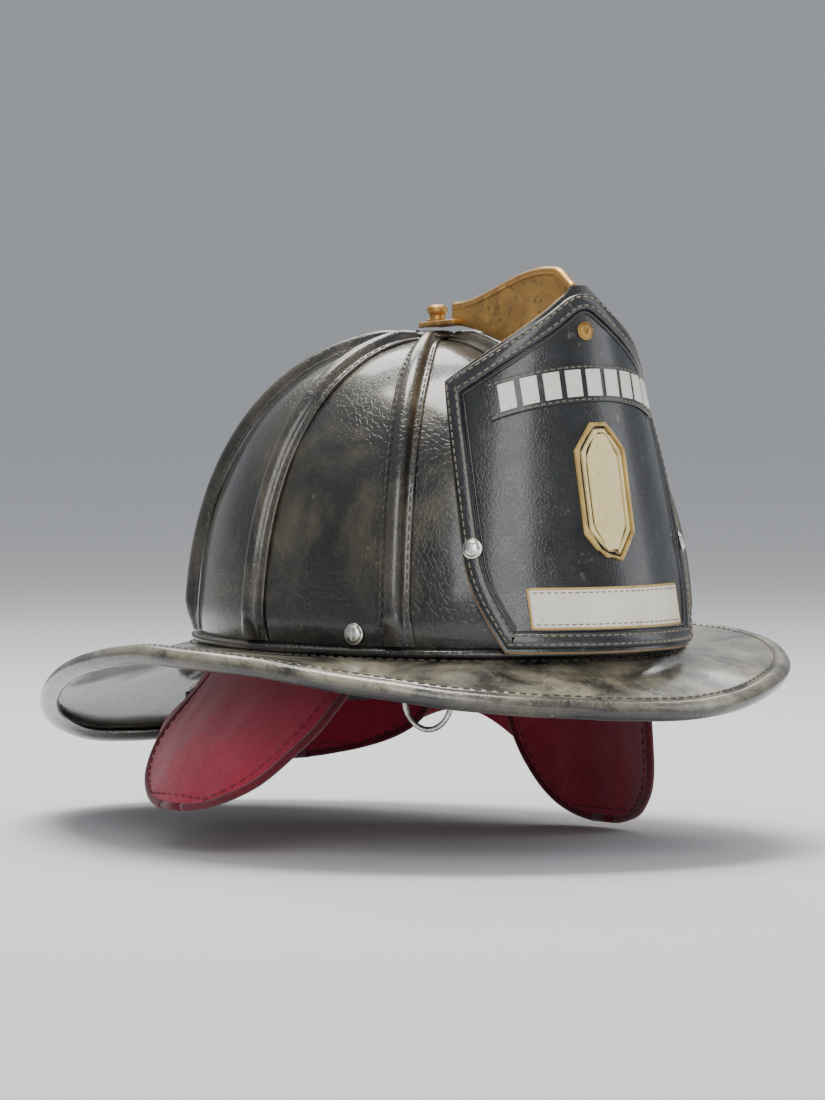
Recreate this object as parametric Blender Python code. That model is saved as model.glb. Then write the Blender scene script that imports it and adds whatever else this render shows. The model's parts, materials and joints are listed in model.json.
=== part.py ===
"""A traditional leather firefighter helmet, as separate pieces.

Metres, +Z up. The front faces -Y and the wearer's left is +X. The origin is at the middle of the
head opening, level with the foot of the crown. An angle called theta runs round +Z from the front
towards the wearer's left, and one called psi runs from the rear towards the wearer's left.
"""

import math

import bmesh
import bpy
from mathutils import Matrix, Vector

GAP = 0.0004

# Crown: a dome with different length and width, on superellipse curves.
CROWN_LENGTH = 0.123
CROWN_WIDTH = 0.098
CROWN_HEIGHT = 0.136
CROWN_POWER = 2.3
CROWN_FOOT = -0.0015
FOOT_PINCH = 0.035
PINCH_HEIGHT = 0.018
LEATHER = 0.0035
CROWN_SIDES = 32
CROWN_ROWS = 10
LOWEST_LEVEL = 0.0085
TOP_RATIO = 0.07
COMB_COUNT = 8
COMB_WIDTH = 0.012
COMB_HEIGHT = 0.005
COMB_FOOT = 0.007
COMB_TOP_RATIO = 0.12
CAP_RADIUS = 0.0105

# Brim: overall reach at the front, rear and sides, and how far each droops.
BRIM_FRONT = 0.166
BRIM_REAR = 0.242
BRIM_SIDE = 0.150
REAR_TAPER = 0.05
DROOP_FRONT = 0.017
DROOP_REAR = 0.050
DROOP_SIDE = -0.004
BRIM_TOP = 0.0016
BRIM_LEATHER = 0.0032
ROLL_OUTER = 0.0043
ROLL_INNER = 0.0015
WIRE_RADIUS = 0.0011
BRIM_SIDES = 48

# Shield: a patch of a cylinder that leans back towards the holder.
SHIELD_FOOT_RADIUS = 0.070
SHIELD_TOP_RADIUS = 0.034
SHIELD_FOOT = 0.005
SHIELD_TOP = 0.160
SHIELD_FRONT = 0.1355
SHIELD_APEX = 0.103
SHIELD_LEATHER = 0.0026
SHIELD_WIDTH = 0.0645
SHIELD_FOOT_WIDTH = 0.0515
SHIELD_WAIST = 0.046
SHIELD_SHOULDER = 0.119
SHIELD_COLUMNS = 18
BORDER_WIDTH = 0.007
APEX_ARCH = 0.0035
TRIM = 0.0016
BORDER_SEAT = SHIELD_LEATHER + 0.0008
HOLDER_SCREW_LEVEL = 0.1405

# Liner, straps and headband.
IMPACT_CAP = (0.0041, 0.0061)
FOAM = (0.0072, 0.0125)
HEADBAND_LENGTH = 0.1025
HEADBAND_WIDTH = 0.0805
HEADBAND_HEIGHT = 0.026
STRAP_WIDTH = 0.019
STRAP_THICKNESS = 0.0012
STRAP_FOOT = 0.014
STRAP_RISE = 0.0275
STRAP_APEXES = (0.100, 0.0978, 0.0956)
STRAP_ANGLES = (30, 90, 150)

# Ratchet at the nape, on an arc about a vertical axis.
NAPE_CENTRE = 0.030
NAPE_RADIUS = 0.060
NAPE_LEVEL = -0.016
PINION_RADIUS = 0.004
KNOB_RADIUS = 0.013

# Flaps: hinge lines, lengths and how far each hangs out from the vertical at rest.
FLAP_THICKNESS = 0.0024
EAR_HINGE = 0.087
EAR_LENGTH = 0.082
EAR_HALF_WIDTH = 0.054
EAR_MIDDLE = 0.006
EAR_SAG = 0.0115
RIGHT_FLARE = math.radians(47)
LEFT_FLARE = math.radians(10)
NECK_HINGE = 0.111
NECK_LENGTH = 0.056
NECK_HALF_WIDTH = 0.058
NECK_SAG = 0.028
NECK_FLARE = math.radians(12)
FLAP_DROP = 0.005

# Tabs and rings.
TAB_HALF_WIDTH = 0.008
CURL_INNER = 0.0017
CURL_OUTER = 0.0033
TAB_STEP = 0.0003
TAB_FACE = 0.0055
TAB_FACE_END = 0.0115
RING_WIRE = 0.00125
RING_HALF_WIDTH = 0.0105
CHIN_THETA = math.radians(45)
CHIN_LEVEL = -0.013


# ---------------------------------------------------------------- materials

def material(name, colour, roughness, metallic=0.0):
    made = bpy.data.materials.new(name)
    made.use_nodes = True
    shader = made.node_tree.nodes["Principled BSDF"]
    shader.inputs["Base Color"].default_value = (*colour, 1.0)
    shader.inputs["Roughness"].default_value = roughness
    shader.inputs["Metallic"].default_value = metallic
    made.diffuse_color = (*colour, 1.0)
    return made


def clear_scene():
    for old in list(bpy.data.objects):
        bpy.data.objects.remove(old, do_unlink=True)


clear_scene()
BLACK_LEATHER = material("black_leather", (0.020, 0.017, 0.014), 0.38)
SHIELD_BLACK = material("shield_leather", (0.030, 0.030, 0.031), 0.30)
GOLD_LEATHER = material("gold_leather", (0.52, 0.36, 0.11), 0.45)
CREAM_LEATHER = material("cream_leather", (0.82, 0.78, 0.62), 0.55)
BRASS = material("aged_brass", (0.36, 0.19, 0.06), 0.42, 0.9)
STEEL = material("bright_steel", (0.62, 0.61, 0.58), 0.28, 1.0)
WIRE = material("brim_wire", (0.40, 0.39, 0.37), 0.40, 1.0)
FLANNEL = material("red_flannel", (0.22, 0.016, 0.026), 0.95)
LINER_PLASTIC = material("liner_plastic", (0.045, 0.045, 0.048), 0.50)
FOAM_GREY = material("liner_foam", (0.16, 0.16, 0.15), 0.90)
WEBBING = material("strap_webbing", (0.035, 0.035, 0.038), 0.85)
BAND_PLASTIC = material("headband_plastic", (0.028, 0.028, 0.030), 0.45)
SWEAT_LEATHER = material("sweatband_leather", (0.20, 0.11, 0.055), 0.60)


# ---------------------------------------------------------------- mesh helpers

def solid(name, points, faces, finish, sharp=35):
    """One named object from points and faces, with its faces turned outwards."""
    mesh = bpy.data.meshes.new(name)
    mesh.from_pydata([tuple(point) for point in points], [], faces)
    work = bmesh.new()
    work.from_mesh(mesh)
    bmesh.ops.recalc_face_normals(work, faces=work.faces)
    work.to_mesh(mesh)
    work.free()
    mesh.shade_smooth()
    mesh.set_sharp_from_angle(angle=math.radians(sharp))
    mesh.materials.append(finish)
    made = bpy.data.objects.new(name, mesh)
    bpy.context.scene.collection.objects.link(made)
    return made


def strip_quads(first, second, wrap):
    """Quads between two rows of point numbers."""
    last = len(first) if wrap else len(first) - 1
    quads = []
    for i in range(last):
        j = (i + 1) % len(first)
        quads.append((first[i], first[j], second[j], second[i]))
    return quads


def slab(name, front, back, finish, wrap=False, poles=None, sharp=35):
    """A closed solid between two grids of rows. poles closes both grids over their last row."""
    points = []
    grids = []
    for grid in (front, back):
        numbers = []
        for row in grid:
            numbers.append(list(range(len(points), len(points) + len(row))))
            points.extend(row)
        grids.append(numbers)
    faces = []
    for numbers in grids:
        for lower, upper in zip(numbers, numbers[1:]):
            faces.extend(strip_quads(lower, upper, wrap))
    ends = [0] if poles else [0, -1]
    for end in ends:
        faces.extend(strip_quads(grids[0][end], grids[1][end], wrap))
    if not wrap:
        for side in (0, -1):
            outer = [row[side] for row in grids[0]]
            inner = [row[side] for row in grids[1]]
            faces.extend(strip_quads(outer, inner, False))
    if poles:
        for numbers, pole in zip(grids, poles):
            tip = len(points)
            points.append(pole)
            last = numbers[-1]
            for i in range(len(last)):
                faces.append((last[i], last[(i + 1) % len(last)], tip))
    return solid(name, points, faces, finish, sharp)


def sweep(name, rings, finish, closed=False, sharp=35):
    """A solid through a row of equal closed outlines, capped at both ends unless it closes on itself."""
    points = [point for ring in rings for point in ring]
    size = len(rings[0])
    numbers = [list(range(k * size, (k + 1) * size)) for k in range(len(rings))]
    faces = []
    for first, second in zip(numbers, numbers[1:]):
        faces.extend(strip_quads(first, second, True))
    if closed:
        faces.extend(strip_quads(numbers[-1], numbers[0], True))
    else:
        faces.append(tuple(numbers[0]))
        faces.append(tuple(numbers[-1]))
    return solid(name, points, faces, finish, sharp)


def turned(name, profile, place, finish, sides=20, sharp=35):
    """A turned solid about local Z. profile is (radius, height) from one end of the axis to the other."""
    points = []
    rows = []
    for radius, height in profile:
        if radius == 0.0:
            rows.append([len(points)])
            points.append(place @ Vector((0.0, 0.0, height)))
            continue
        row = []
        for i in range(sides):
            angle = math.tau * i / sides
            row.append(len(points))
            points.append(place @ Vector((radius * math.cos(angle), radius * math.sin(angle), height)))
        rows.append(row)
    faces = []
    for lower, upper in zip(rows, rows[1:]):
        if len(lower) == 1 or len(upper) == 1:
            tip, ring = (lower[0], upper) if len(lower) == 1 else (upper[0], lower)
            for i in range(sides):
                faces.append((tip, ring[i], ring[(i + 1) % sides]))
        else:
            faces.extend(strip_quads(lower, upper, True))
    return solid(name, points, faces, finish, sharp)


def facing(point, direction, width=None):
    """A matrix at point whose local Z is direction, and whose local X is as near to width as it can be."""
    z_axis = Vector(direction).normalized()
    guess = Vector(width) if width else Vector((0.0, 0.0, 1.0))
    x_axis = (guess - z_axis * guess.dot(z_axis)).normalized()
    y_axis = z_axis.cross(x_axis)
    turn = Matrix((x_axis, y_axis, z_axis)).transposed()
    return Matrix.Translation(point) @ turn.to_4x4()


def drill(targets, place, radius, depth, sides=12):
    """A round hole through each target, along the local Z of place."""
    profile = [(0.0, -depth), (radius, -depth), (radius, depth), (0.0, depth)]
    cutter = turned("cutter_" + targets[0].name, profile, place, STEEL, sides)
    cutter.hide_render = True
    cutter.display_type = "WIRE"
    for target in targets:
        cut = target.modifiers.new("hole", "BOOLEAN")
        cut.operation = "DIFFERENCE"
        cut.solver = "EXACT"
        cut.object = cutter


def pivot(made, point):
    """Moves an object's origin to a point, and leaves its shape where it is."""
    made.data.transform(Matrix.Translation(-Vector(point)))
    made.location = point


def between(low, high, count):
    return [low + (high - low) * i / (count - 1) for i in range(count)]


def smooth(share):
    share = min(max(share, 0.0), 1.0)
    return share * share * (3.0 - 2.0 * share)


# ---------------------------------------------------------------- crown geometry

def crown_ratio(height, top):
    """How wide the crown is at a height, as a share of its widest."""
    inside = max(height, 0.0) / top
    ratio = (1.0 - min(inside, 1.0) ** CROWN_POWER) ** (1.0 / CROWN_POWER)
    low = min(max(1.0 - height / PINCH_HEIGHT, 0.0), 1.0)
    return ratio * (1.0 - FOOT_PINCH * low * low)


def crown_point(theta, height, inset):
    """A point on the crown's surface, moved inwards by inset. A negative inset lies outside."""
    ratio = crown_ratio(height, CROWN_HEIGHT - inset)
    across = (CROWN_WIDTH - inset) * ratio * math.sin(theta)
    along = -(CROWN_LENGTH - inset) * ratio * math.cos(theta)
    return Vector((across, along, height))


def crown_normal(point):
    """The outward direction of the outer surface at a point on it."""
    reach = math.hypot(point.x / CROWN_WIDTH, point.y / CROWN_LENGTH)
    side = reach ** (CROWN_POWER - 2.0)
    up = (max(point.z, 0.0) / CROWN_HEIGHT) ** (CROWN_POWER - 1.0) / CROWN_HEIGHT
    return Vector((side * point.x / CROWN_WIDTH ** 2, side * point.y / CROWN_LENGTH ** 2, up)).normalized()


def crown_levels(inset, foot, step=1):
    """Heights from the foot to the top. Every layer takes them at the same turns, so layers nest."""
    top = CROWN_HEIGHT - inset
    first = math.asin((LOWEST_LEVEL / CROWN_HEIGHT) ** (CROWN_POWER / 2.0))
    last = math.acos(TOP_RATIO ** (CROWN_POWER / 2.0))
    heights = [top * math.sin(a) ** (2.0 / CROWN_POWER) for a in between(first, last, CROWN_ROWS)]
    return [foot] + [height for height in heights[::step] if height > foot + 0.004]


def ellipse_speed(theta):
    """How far a point on the widest outline moves for each radian of theta."""
    return math.hypot(CROWN_LENGTH * math.sin(theta), CROWN_WIDTH * math.cos(theta))


def oval(theta, length, width, height):
    return Vector((width * math.sin(theta), -length * math.cos(theta), height))


def ring_slab(name, outer, inner, low, high, finish, thetas, wrap):
    """An upright band between two ovals, each given as (length, width)."""
    front = [[oval(t, *outer, z) for t in thetas] for z in (low, high)]
    back = [[oval(t, *inner, z) for t in thetas] for z in (low, high)]
    return slab(name, front, back, finish, wrap)


def full_turn(sides):
    return [math.tau * i / sides for i in range(sides)]


def build_crown_panels():
    names = ("crown_panel_front_left", "crown_panel_rear_left",
             "crown_panel_rear_right", "crown_panel_front_right")
    per_panel = CROWN_SIDES // 4
    panels = []
    for quarter, name in enumerate(names):
        grids = []
        for inset in (0.0, LEATHER):
            grid = []
            for height in crown_levels(inset, CROWN_FOOT):
                ratio = crown_ratio(height, CROWN_HEIGHT - inset)
                row = []
                for k in range(per_panel + 1):
                    theta = (quarter + k / per_panel) * math.pi / 2.0
                    seam = GAP / 2.0 / (ellipse_speed(theta) * ratio)
                    if k == 0:
                        theta += seam
                    if k == per_panel:
                        theta -= seam
                    row.append(crown_point(theta, height, inset))
                grid.append(row)
            grids.append(grid)
        panels.append(slab(name, grids[0], grids[1], BLACK_LEATHER))
    return panels


def build_combs():
    names = ("comb_front", "comb_front_left", "comb_left", "comb_rear_left",
             "comb_rear", "comb_rear_right", "comb_right", "comb_front_right")
    top = CROWN_HEIGHT * (1.0 - COMB_TOP_RATIO ** CROWN_POWER) ** (1.0 / CROWN_POWER)
    levels = [z for z in crown_levels(0.0, COMB_FOOT) if z < top - 0.0005] + [top]
    outline = ((-1.0, 0.0), (-0.94, 0.45), (-0.60, 0.86), (0.0, 1.0),
               (0.60, 0.86), (0.94, 0.45), (1.0, 0.0), (0.0, 0.0))
    for number, name in enumerate(names):
        plan = math.tau * number / COMB_COUNT
        centre = math.atan2(math.sin(plan) / CROWN_WIDTH, math.cos(plan) / CROWN_LENGTH)
        rings = []
        for height in levels:
            ratio = crown_ratio(height, CROWN_HEIGHT)
            half = COMB_WIDTH / 2.0 * (0.62 + 0.38 * smooth(ratio * 1.6))
            ring = []
            for across, up in outline:
                theta = centre + across * half / (ellipse_speed(centre) * ratio)
                foot = crown_point(theta, height, 0.0)
                ring.append(foot + crown_normal(foot) * (GAP + up * COMB_HEIGHT))
            rings.append(ring)
        sweep(name, rings, BLACK_LEATHER, sharp=50)


def build_crown_cap():
    profile = [(0.0, 0.0), (CAP_RADIUS, 0.0), (CAP_RADIUS, 0.0014), (CAP_RADIUS - 0.002, 0.0028),
               (0.0045, 0.0032), (0.0, 0.0032)]
    return turned("crown_cap", profile, Matrix.Translation((0, 0, CROWN_HEIGHT + GAP)), BLACK_LEATHER, 24)


def build_welt():
    """The strip of leather round the foot of the crown, on top of the brim."""
    outline = ((GAP, 0.0021), (0.0042, 0.0021), (0.0045, 0.0036), (0.0032, 0.0056), (GAP, 0.0060))
    rings = []
    for theta in full_turn(CROWN_SIDES):
        rings.append([crown_point(theta, height, -out) for out, height in outline])
    sweep("crown_welt", rings, BLACK_LEATHER, closed=True)


# ---------------------------------------------------------------- brim

def brim_outline(theta):
    """The edge of the flat part of the brim, before the roll."""
    front = math.cos(theta) >= 0.0
    reach = (BRIM_FRONT if front else BRIM_REAR) - ROLL_OUTER
    taper = 1.0 if front else 1.0 - REAR_TAPER * math.sin(2.0 * theta) ** 2
    return Vector(((BRIM_SIDE - ROLL_OUTER) * math.sin(theta) * taper, -reach * math.cos(theta), 0.0))


def brim_drop(theta):
    front = math.cos(theta) >= 0.0
    most = DROOP_FRONT if front else DROOP_REAR
    power = 2.0 if front else 1.7
    return DROOP_SIDE + (most - DROOP_SIDE) * abs(math.cos(theta)) ** power


def brim_hole(theta):
    foot = crown_point(theta, BRIM_TOP, -2.0 * GAP)
    return Vector((foot.x, foot.y, 0.0))


def brim_surface(theta, share):
    """A point on the top of the brim, from the crown (0) to the roll (1)."""
    flat = brim_hole(theta).lerp(brim_outline(theta), share)
    flat.z = BRIM_TOP - brim_drop(theta) * share ** 1.25
    return flat


def brim_frame(theta):
    """Outward and upward directions of the brim at its edge."""
    step = 0.01
    along = brim_outline(theta + step) - brim_outline(theta - step)
    out = Vector((-along.y, along.x, 0.0)).normalized()
    if out.dot(brim_outline(theta)) < 0.0:
        out = -out
    near = brim_surface(theta, 0.9)
    edge = brim_surface(theta, 1.0)
    slope = math.atan2(edge.z - near.z, math.hypot(edge.x - near.x, edge.y - near.y))
    outward = out * math.cos(slope) + Vector((0, 0, math.sin(slope)))
    upward = -out * math.sin(slope) + Vector((0, 0, math.cos(slope)))
    return edge - upward * ROLL_OUTER, outward, upward


def brim_ring(theta):
    centre, outward, upward = brim_frame(theta)
    shares = (0.0, 0.25, 0.5, 0.75)
    ring = [brim_surface(theta, share) for share in shares]
    for radius, angles in ((ROLL_OUTER, range(90, -151, -30)), (ROLL_INNER, range(-150, 91, 40))):
        for angle in angles:
            turn = math.radians(angle)
            ring.append(centre + (outward * math.cos(turn) + upward * math.sin(turn)) * radius)
    for share in reversed(shares):
        under = brim_surface(theta, share)
        under.z -= BRIM_LEATHER
        ring.append(under)
    return ring


def build_brim():
    thetas = full_turn(BRIM_SIDES)
    brim = sweep("brim", [brim_ring(theta) for theta in thetas], BLACK_LEATHER, closed=True, sharp=50)
    rings = []
    for theta in thetas:
        centre, outward, upward = brim_frame(theta)
        ring = []
        for i in range(6):
            turn = math.tau * i / 6
            ring.append(centre + (outward * math.cos(turn) + upward * math.sin(turn)) * WIRE_RADIUS)
        rings.append(ring)
    sweep("brim_wire", rings, WIRE, closed=True)
    return brim


# ---------------------------------------------------------------- shield

def shield_point(across, height, off):
    """A point off the back face of the shield, which bends more tightly towards its top.

    across is measured along its curve."""
    share = min(max((height - SHIELD_FOOT) / (SHIELD_TOP - SHIELD_FOOT), 0.0), 1.0)
    radius = SHIELD_FOOT_RADIUS - (SHIELD_FOOT_RADIUS - SHIELD_TOP_RADIUS) * share ** 1.6
    turn = across / radius
    lean = (SHIELD_FRONT - SHIELD_APEX) / (SHIELD_TOP - SHIELD_FOOT)
    front = SHIELD_FRONT - (height - SHIELD_FOOT) * lean - radius * (1.0 - math.cos(turn))
    x = radius * math.sin(turn)
    return Vector((x + off * math.sin(turn), -(front + off * math.cos(turn)), height + off * lean))


def shield_half_width(height):
    """Half the shield's width along its curve: it tapers below the waist and is concave above."""
    if height <= SHIELD_WAIST:
        share = (height - SHIELD_FOOT) / (SHIELD_WAIST - SHIELD_FOOT)
        return SHIELD_FOOT_WIDTH + (SHIELD_WIDTH - SHIELD_FOOT_WIDTH) * math.sin(share * math.pi / 2.0)
    if height <= SHIELD_SHOULDER:
        return SHIELD_WIDTH
    share = (height - SHIELD_SHOULDER) / (SHIELD_TOP - SHIELD_SHOULDER)
    tip = 0.0035
    return tip + (SHIELD_WIDTH - tip) * (1.0 - share) ** 1.19


def shield_patch(name, half_width, heights, low_off, thickness, finish, arch=0.0, columns=SHIELD_COLUMNS):
    """A sheet that lies on the shield. arch drops its ends to follow a curve."""
    grids = []
    for off in (low_off + thickness, low_off):
        grid = []
        for height in heights:
            row = []
            for share in between(-1.0, 1.0, columns + 1):
                width = half_width(height) if callable(half_width) else half_width
                row.append(shield_point(share * width, height - arch * share * share, off))
            grid.append(row)
        grids.append(grid)
    return slab(name, grids[0], grids[1], finish, sharp=40)


def shield_outline(inset):
    """The shield's outline as (across, height), moved inwards, round the shield once."""
    heights = (between(SHIELD_FOOT, SHIELD_WAIST, 6) + between(SHIELD_WAIST, SHIELD_SHOULDER, 7)[1:]
               + between(SHIELD_SHOULDER, SHIELD_TOP - 0.006, 8)[1:])
    right = [(shield_half_width(height), height) for height in heights]
    bottom = [(x, SHIELD_FOOT) for x in between(-SHIELD_FOOT_WIDTH, SHIELD_FOOT_WIDTH, 9)[1:-1]]
    top_half, top_level = right[-1]
    top = [(x, top_level + APEX_ARCH * (1.0 - (x / top_half) ** 2)) for x in between(top_half, -top_half, 7)[1:-1]]
    loop = right + top + [(-x, height) for x, height in reversed(right)] + bottom
    moved = []
    for i, (x, height) in enumerate(loop):
        before = Vector(loop[i - 1])
        here = Vector((x, height))
        after = Vector(loop[(i + 1) % len(loop)])
        first = (here - before).normalized()
        second = (after - here).normalized()
        inward = (Vector((-first.y, first.x)) + Vector((-second.y, second.x))).normalized()
        sharpness = max(inward.dot(Vector((-first.y, first.x))), 0.6)
        moved.append(here + inward * inset / sharpness)
    return moved


def build_shield():
    heights = (between(SHIELD_FOOT, SHIELD_WAIST, 6) + between(SHIELD_WAIST, SHIELD_SHOULDER, 7)[1:]
               + between(SHIELD_SHOULDER, SHIELD_TOP, 9)[1:])
    base = shield_patch("shield_base", shield_half_width, heights, 0.0, SHIELD_LEATHER, SHIELD_BLACK)
    face = SHIELD_LEATHER + GAP
    outer = shield_outline(0.0008)
    inner = shield_outline(0.0008 + BORDER_WIDTH)
    rings = []
    for far, near in zip(outer, inner):
        rings.append([shield_point(*far, BORDER_SEAT), shield_point(*far, BORDER_SEAT + TRIM),
                      shield_point(*near, BORDER_SEAT + TRIM), shield_point(*near, BORDER_SEAT)])
    border = sweep("shield_border", rings, SHIELD_BLACK, closed=True)
    shield_patch("shield_banner", 0.045, between(0.1105, 0.1260, 2), face, 0.0011, SHIELD_BLACK, 0.0085)
    shield_patch("shield_name_panel", 0.039, between(0.0150, 0.0310, 2), face, 0.0012, CREAM_LEATHER)

    def plaque_width(height):
        share = (height - 0.072) / 0.0295
        return 0.0125 if abs(share) < 0.6 else 0.0125 - 0.0085 * (abs(share) - 0.6) / 0.4

    plaque_levels = [0.072 + 0.0295 * share for share in (-1.0, -0.6, 0.0, 0.6, 1.0)]
    shield_patch("shield_plaque", plaque_width, plaque_levels, face, 0.0016, GOLD_LEATHER, columns=6)
    return base, border


def build_shield_screws(base, border):
    for side, name in ((-1, "shield_screw_right"), (1, "shield_screw_left")):
        across = side * (SHIELD_WIDTH - 0.0050)
        seat = shield_point(across, 0.048, BORDER_SEAT + TRIM)
        out = seat - shield_point(across, 0.048, 0.0)
        place = facing(seat, out)
        build_screw(name, place, head=0.0042, shank=0.0015, reach=0.0062)
        drill([base, border], place, 0.0019, 0.009)


def build_screw(name, place, head, shank, reach, finish=None, dome=0.0018):
    """A domed screw: the head stands on the origin of place, the shank goes back along its Z."""
    profile = [(0.0, -reach), (shank, -reach), (shank, GAP), (head, GAP), (head, GAP + dome * 0.35),
               (head * 0.72, GAP + dome * 0.85), (0.0, GAP + dome)]
    return turned(name, profile, place, finish or STEEL, 14)


# ---------------------------------------------------------------- front holder

def holder_floor(front):
    """Height of the underside of the holder above the front comb."""
    out = GAP * 2 + COMB_HEIGHT + 0.0008
    share = min(abs(front) / (CROWN_LENGTH + out), 1.0)
    return (CROWN_HEIGHT + out) * (1.0 - share ** CROWN_POWER) ** (1.0 / CROWN_POWER)


def build_holder(base):
    web_start = 0.0140
    half = 0.0021
    lean = (SHIELD_FRONT - SHIELD_APEX) / (SHIELD_TOP - SHIELD_FOOT)

    def shield_back(height):
        return SHIELD_FRONT - (height - SHIELD_FOOT) * lean - 0.0013

    floor = [(front, holder_floor(front)) for front in between(web_start, 0.088, 7)]
    top = [(shield_back(0.1585), 0.1585), (0.094, 0.1650), (0.084, 0.1660), (0.070, 0.1648), (0.054, 0.1615),
           (0.040, 0.1575), (0.027, 0.1535), (web_start, 0.1500)]
    outline = floor + [(shield_back(0.128), 0.128)] + top
    sides = [[Vector((x, -front, height)) for front, height in outline] for x in (-half, half)]
    holder = sweep("front_holder", sides, BRASS)
    flange = [(shield_back(z) - inset, z) for z, inset in ((0.1325, -0.0002), (0.1500, -0.0002),
                                                           (0.1500, 0.0022), (0.1325, 0.0022))]
    plate = sweep("holder_flange", [[Vector((x, -front, z)) for front, z in flange]
                                    for x in (-0.0075, 0.0075)], BRASS)
    foot = [(-0.0065, 0.1405), (0.0200, 0.1425), (0.0200, 0.1450), (-0.0065, 0.1430)]
    foot_plate = sweep("holder_foot", [[Vector((x, -front, z)) for front, z in foot]
                                       for x in (-0.006, 0.006)], BRASS)
    for piece in (plate, foot_plate):
        piece.hide_render = True
        piece.display_type = "WIRE"
        joined = holder.modifiers.new("join", "BOOLEAN")
        joined.operation = "UNION"
        joined.solver = "EXACT"
        joined.object = piece
    bolt_place = Matrix.Translation((0.0, 0.0, 0.1437))
    profile = [(0.0, -0.0030), (0.0018, -0.0030), (0.0018, GAP), (0.0046, GAP), (0.0046, 0.0042),
               (0.0034, 0.0066), (0.0, 0.0074)]
    turned("holder_bolt", profile, bolt_place, BRASS, 12)
    drill([holder], Matrix.Translation((0.0, 0.0, 0.1425)), 0.0022, 0.006)
    seat = shield_point(0.0, HOLDER_SCREW_LEVEL, SHIELD_LEATHER)
    place = facing(seat, seat - shield_point(0.0, HOLDER_SCREW_LEVEL, 0.0))
    build_screw("holder_screw", place, head=0.0036, shank=0.0013, reach=0.0055, finish=BRASS)
    drill([holder, base], place, 0.0017, 0.009)


# ---------------------------------------------------------------- liner and suspension

def build_dome(name, insets, foot, finish, step):
    grids = []
    poles = []
    for inset in insets:
        levels = crown_levels(inset, foot, step)
        grids.append([[crown_point(t, z, inset) for t in full_turn(CROWN_SIDES)] for z in levels])
        poles.append(Vector((0.0, 0.0, CROWN_HEIGHT - inset)))
    return slab(name, grids[0], grids[1], finish, wrap=True, poles=poles)


def build_strap(name, degrees, apex):
    direction = math.radians(degrees)
    sections = []
    for deep in (0.0, STRAP_THICKNESS):
        grid = []
        for k in range(-1, 18):
            turn = math.pi * min(max(k, 0), 16) / 16
            height = STRAP_RISE + (apex - deep - STRAP_RISE) * math.sin(turn)
            if k in (-1, 17):
                height = STRAP_FOOT
            middle = oval(direction, HEADBAND_LENGTH + 0.0016 - deep, HEADBAND_WIDTH + 0.0016 - deep, 0.0)
            run = middle * math.cos(turn)
            across = oval(direction + math.pi / 2.0, HEADBAND_LENGTH, HEADBAND_WIDTH, 0.0)
            across = across.normalized() * STRAP_WIDTH / 2.0
            grid.append([run + across * s + Vector((0.0, 0.0, height)) for s in (-1.0, 0.0, 1.0)])
        sections.append(grid)
    slab(name, sections[0], sections[1], WEBBING)


def build_suspension():
    around = full_turn(CROWN_SIDES)
    length, width = HEADBAND_LENGTH, HEADBAND_WIDTH
    ring_slab("headband", (length, width), (length - 0.0015, width - 0.0015), 0.0,
              HEADBAND_HEIGHT, BAND_PLASTIC, around, True)
    ring_slab("sweatband", (length - 0.0019, width - 0.0019), (length - 0.0040, width - 0.0040),
              -0.001, HEADBAND_HEIGHT + 0.001, SWEAT_LEATHER, around, True)
    for degrees, apex, name in zip(STRAP_ANGLES, STRAP_APEXES, ("a", "b", "c")):
        build_strap("crown_strap_" + name, degrees, apex)
    for number in range(6):
        middle = math.radians(30 + 60 * number)
        half = 0.012 / math.hypot(length * math.sin(middle), width * math.cos(middle))
        thetas = between(middle - half, middle + half, 5)
        ring_slab(f"strap_key_{number + 1}", (length + 0.0042, width + 0.0042),
                  (length + 0.0026, width + 0.0026), 0.003, 0.0235, BAND_PLASTIC, thetas, False)
    ring_slab("flap_band", (0.1125, 0.0879), (0.1105, 0.0859), 0.004, 0.021, FLANNEL,
              between(math.radians(58), math.radians(302), 27), False)


# ---------------------------------------------------------------- ratchet

def nape_point(psi, radius, height):
    return Vector((radius * math.sin(psi), NAPE_CENTRE + radius * math.cos(psi), height))


def ray_to_oval(psi, length, width):
    """Distance from the nape centre to an oval about the origin, in the direction psi."""
    sine, cosine = math.sin(psi), math.cos(psi)
    a = (sine / width) ** 2 + (cosine / length) ** 2
    b = 2.0 * NAPE_CENTRE * cosine / length ** 2
    c = (NAPE_CENTRE / length) ** 2 - 1.0
    return (-b + math.sqrt(b * b - 4.0 * a * c)) / (2.0 * a)


def build_ratchet_housing():
    psis = [math.radians(a) for a in between(-24, 24, 9)]
    grids = []
    for margin in (0.0016, 0.0):
        low, high = NAPE_RADIUS - 0.0016 - margin, NAPE_RADIUS + 0.0026 + margin
        half = 0.0112 + margin
        corners = ((low, -half), (high, -half), (high, half), (low, half))
        grids.append([[nape_point(psi, r, NAPE_LEVEL + z) for r, z in corners] for psi in psis])
    housing = slab("ratchet_housing", grids[0], grids[1], BAND_PLASTIC, wrap=True)
    place = facing((0.0, NAPE_CENTRE + NAPE_RADIUS + 0.0034, NAPE_LEVEL), (0.0, 1.0, 0.0))
    drill([housing], place, 0.0036, 0.0022, 16)


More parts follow.
